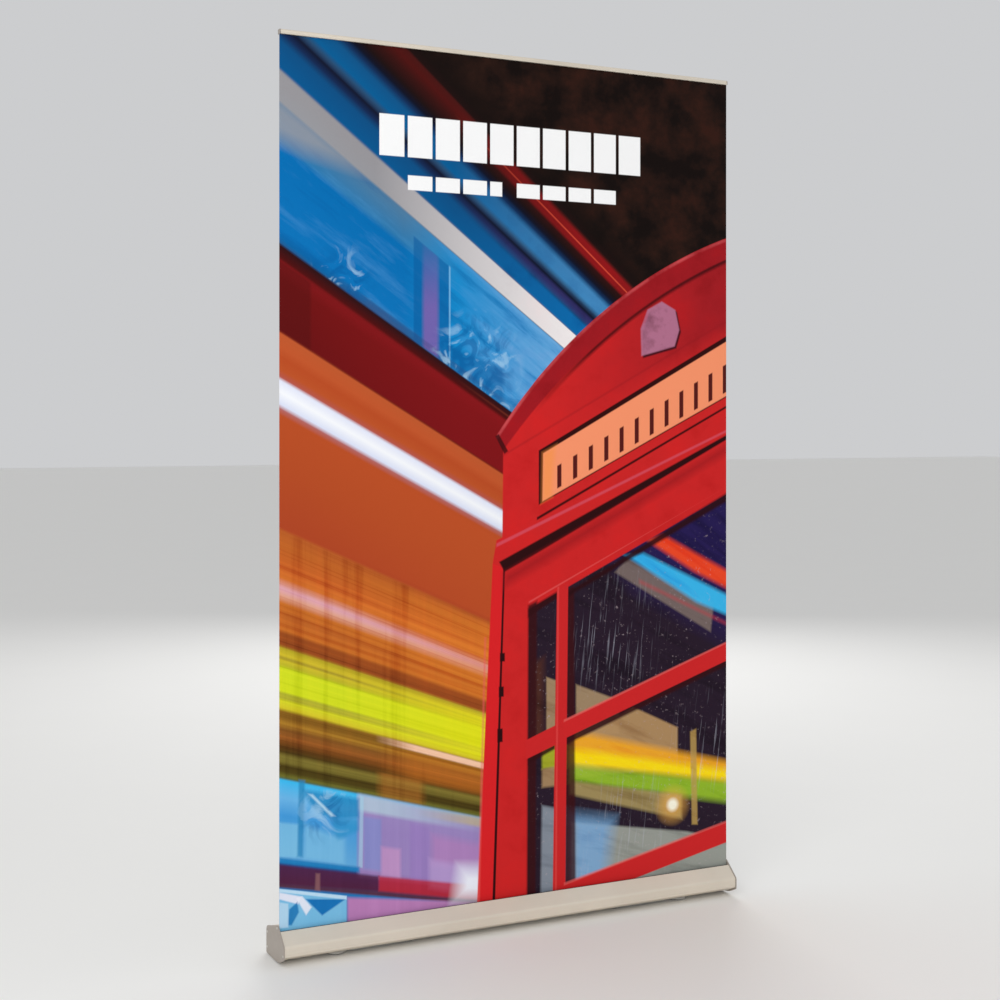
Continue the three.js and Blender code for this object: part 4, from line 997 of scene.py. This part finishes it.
class BANNER_OT_feet(Operator):
    """The two swing feet with their bolts, washers, nut plates and pads"""
    bl_idname = "banner.feet"
    bl_label = "Feet"

    def execute(self, context):
        fittings = context.scene.banner_fittings
        coat = moulded("foot coat", tuple(fittings.feet), 0.5, 900.0, 0.15, 0.05)
        zinc = plated_steel("foot bolts")
        rubber = moulded("foot rubber", tuple(fittings.rubber), 0.8, 1500.0, 0.3)
        nylon = moulded("washer nylon", tuple(fittings.nylon), 0.5)
        for side in SIDES:
            body = f"foot_{side}"
            eased_node(f"foot_{side}", coat, body, 0.8)
            eased_node(f"foot_bolt_{side}", zinc, "root", 0.3)
            dress(f"foot_tip_pad_{side}", rubber)
            dress(f"foot_hub_pad_{side}", rubber)
            dress(f"foot_washer_{side}", nylon)
            dress(f"foot_nut_plate_{side}", zinc)
        return {"FINISHED"}


class BANNER_OT_stage(Operator):
    """Pale floor, soft lights and the camera"""
    bl_idname = "banner.stage"
    bl_label = "Stage"

    def execute(self, context):
        look = context.scene.banner_stage
        scene = context.scene
        floor = Finish("floor")
        grain = floor.noise(floor.place(), 3.0, 4.0)
        tone = floor.mix(scaled(look.floor, 0.985), tuple(look.floor), grain)
        floor.surface({"Base Color": tone, "Roughness": 0.75, "Specular IOR Level": 0.2})
        size = 40.0
        mesh = bpy.data.meshes.new("floor")
        mesh.from_pydata([(-size, -size, 0), (size, -size, 0), (size, size, 0), (-size, size, 0)], [],
                         [(0, 1, 2, 3)])
        mesh.materials.append(floor.material)
        ground = bpy.data.objects.new("floor", mesh)
        scene.collection.objects.link(ground)

        world = bpy.data.worlds.new("surroundings")
        world.use_nodes = True
        world.node_tree.nodes["Background"].inputs["Color"].default_value = tuple(look.sky)
        world.node_tree.nodes["Background"].inputs["Strength"].default_value = 0.72
        scene.world = world
        scene.view_settings.view_transform = "Standard"

        for name, place, aim, width, power in (
            ("front light", (-3.0, -3.5, 2.3), (0, 0, 0.9), 3.6, 100),
            ("back light", (2.2, 4.2, 3.0), (0, 0, 0.9), 2.6, 70),
            ("side light", (4.2, -1.2, 2.6), (0, 0, 0.9), 1.8, 9),
        ):
            lamp = bpy.data.lights.new(name, "AREA")
            lamp.energy, lamp.size = power, width
            light = bpy.data.objects.new(name, lamp)
            light.location = place
            light.rotation_euler = (Vector(aim) - Vector(place)).to_track_quat("-Z", "Y").to_euler()
            scene.collection.objects.link(light)

        lens = bpy.data.cameras.new("camera")
        lens.lens, lens.sensor_width = 55.3, 36
        lens.shift_x, lens.shift_y = 0.020, -0.0759
        camera = bpy.data.objects.new("camera", lens)
        camera.location = (-1.687, -3.301, 1.204)
        camera.rotation_euler = (math.radians(90), 0, math.radians(-25.78))
        scene.collection.objects.link(camera)
        scene.camera = camera
        return {"FINISHED"}


GROUPS = (BannerBase, BannerGraphic, BannerFittings, BannerStage)
SETTINGS = ("banner_base", "banner_graphic", "banner_fittings", "banner_stage")
STEPS = (BANNER_OT_base, BANNER_OT_roller, BANNER_OT_graphic, BANNER_OT_pole, BANNER_OT_rail, BANNER_OT_feet,
         BANNER_OT_stage)


class BANNER_PT_panel(Panel):
    """Sizes, colours and steps of the banner stand"""
    bl_label = "Roll-up banner stand"
    bl_idname = "BANNER_PT_panel"
    bl_space_type = "VIEW_3D"
    bl_region_type = "UI"
    bl_category = "Banner"

    def draw(self, context):
        for setting in SETTINGS:
            held = getattr(context.scene, setting)
            box = self.layout.box()
            for name in held.__annotations__:
                box.prop(held, name)
        for step in STEPS:
            self.layout.operator(step.bl_idname)


def register():
    for cls in (*GROUPS, *STEPS, BANNER_PT_panel):
        bpy.utils.register_class(cls)
    for setting, group in zip(SETTINGS, GROUPS):
        setattr(bpy.types.Scene, setting, PointerProperty(type=group))


def unregister():
    for setting in SETTINGS:
        delattr(bpy.types.Scene, setting)
    for cls in (BANNER_PT_panel, *reversed(STEPS), *reversed(GROUPS)):
        bpy.utils.unregister_class(cls)


def main():
    register()
    for step in STEPS:
        group, name = step.bl_idname.split(".")
        getattr(getattr(bpy.ops, group), name)()


if __name__ == "__main__":
    main()
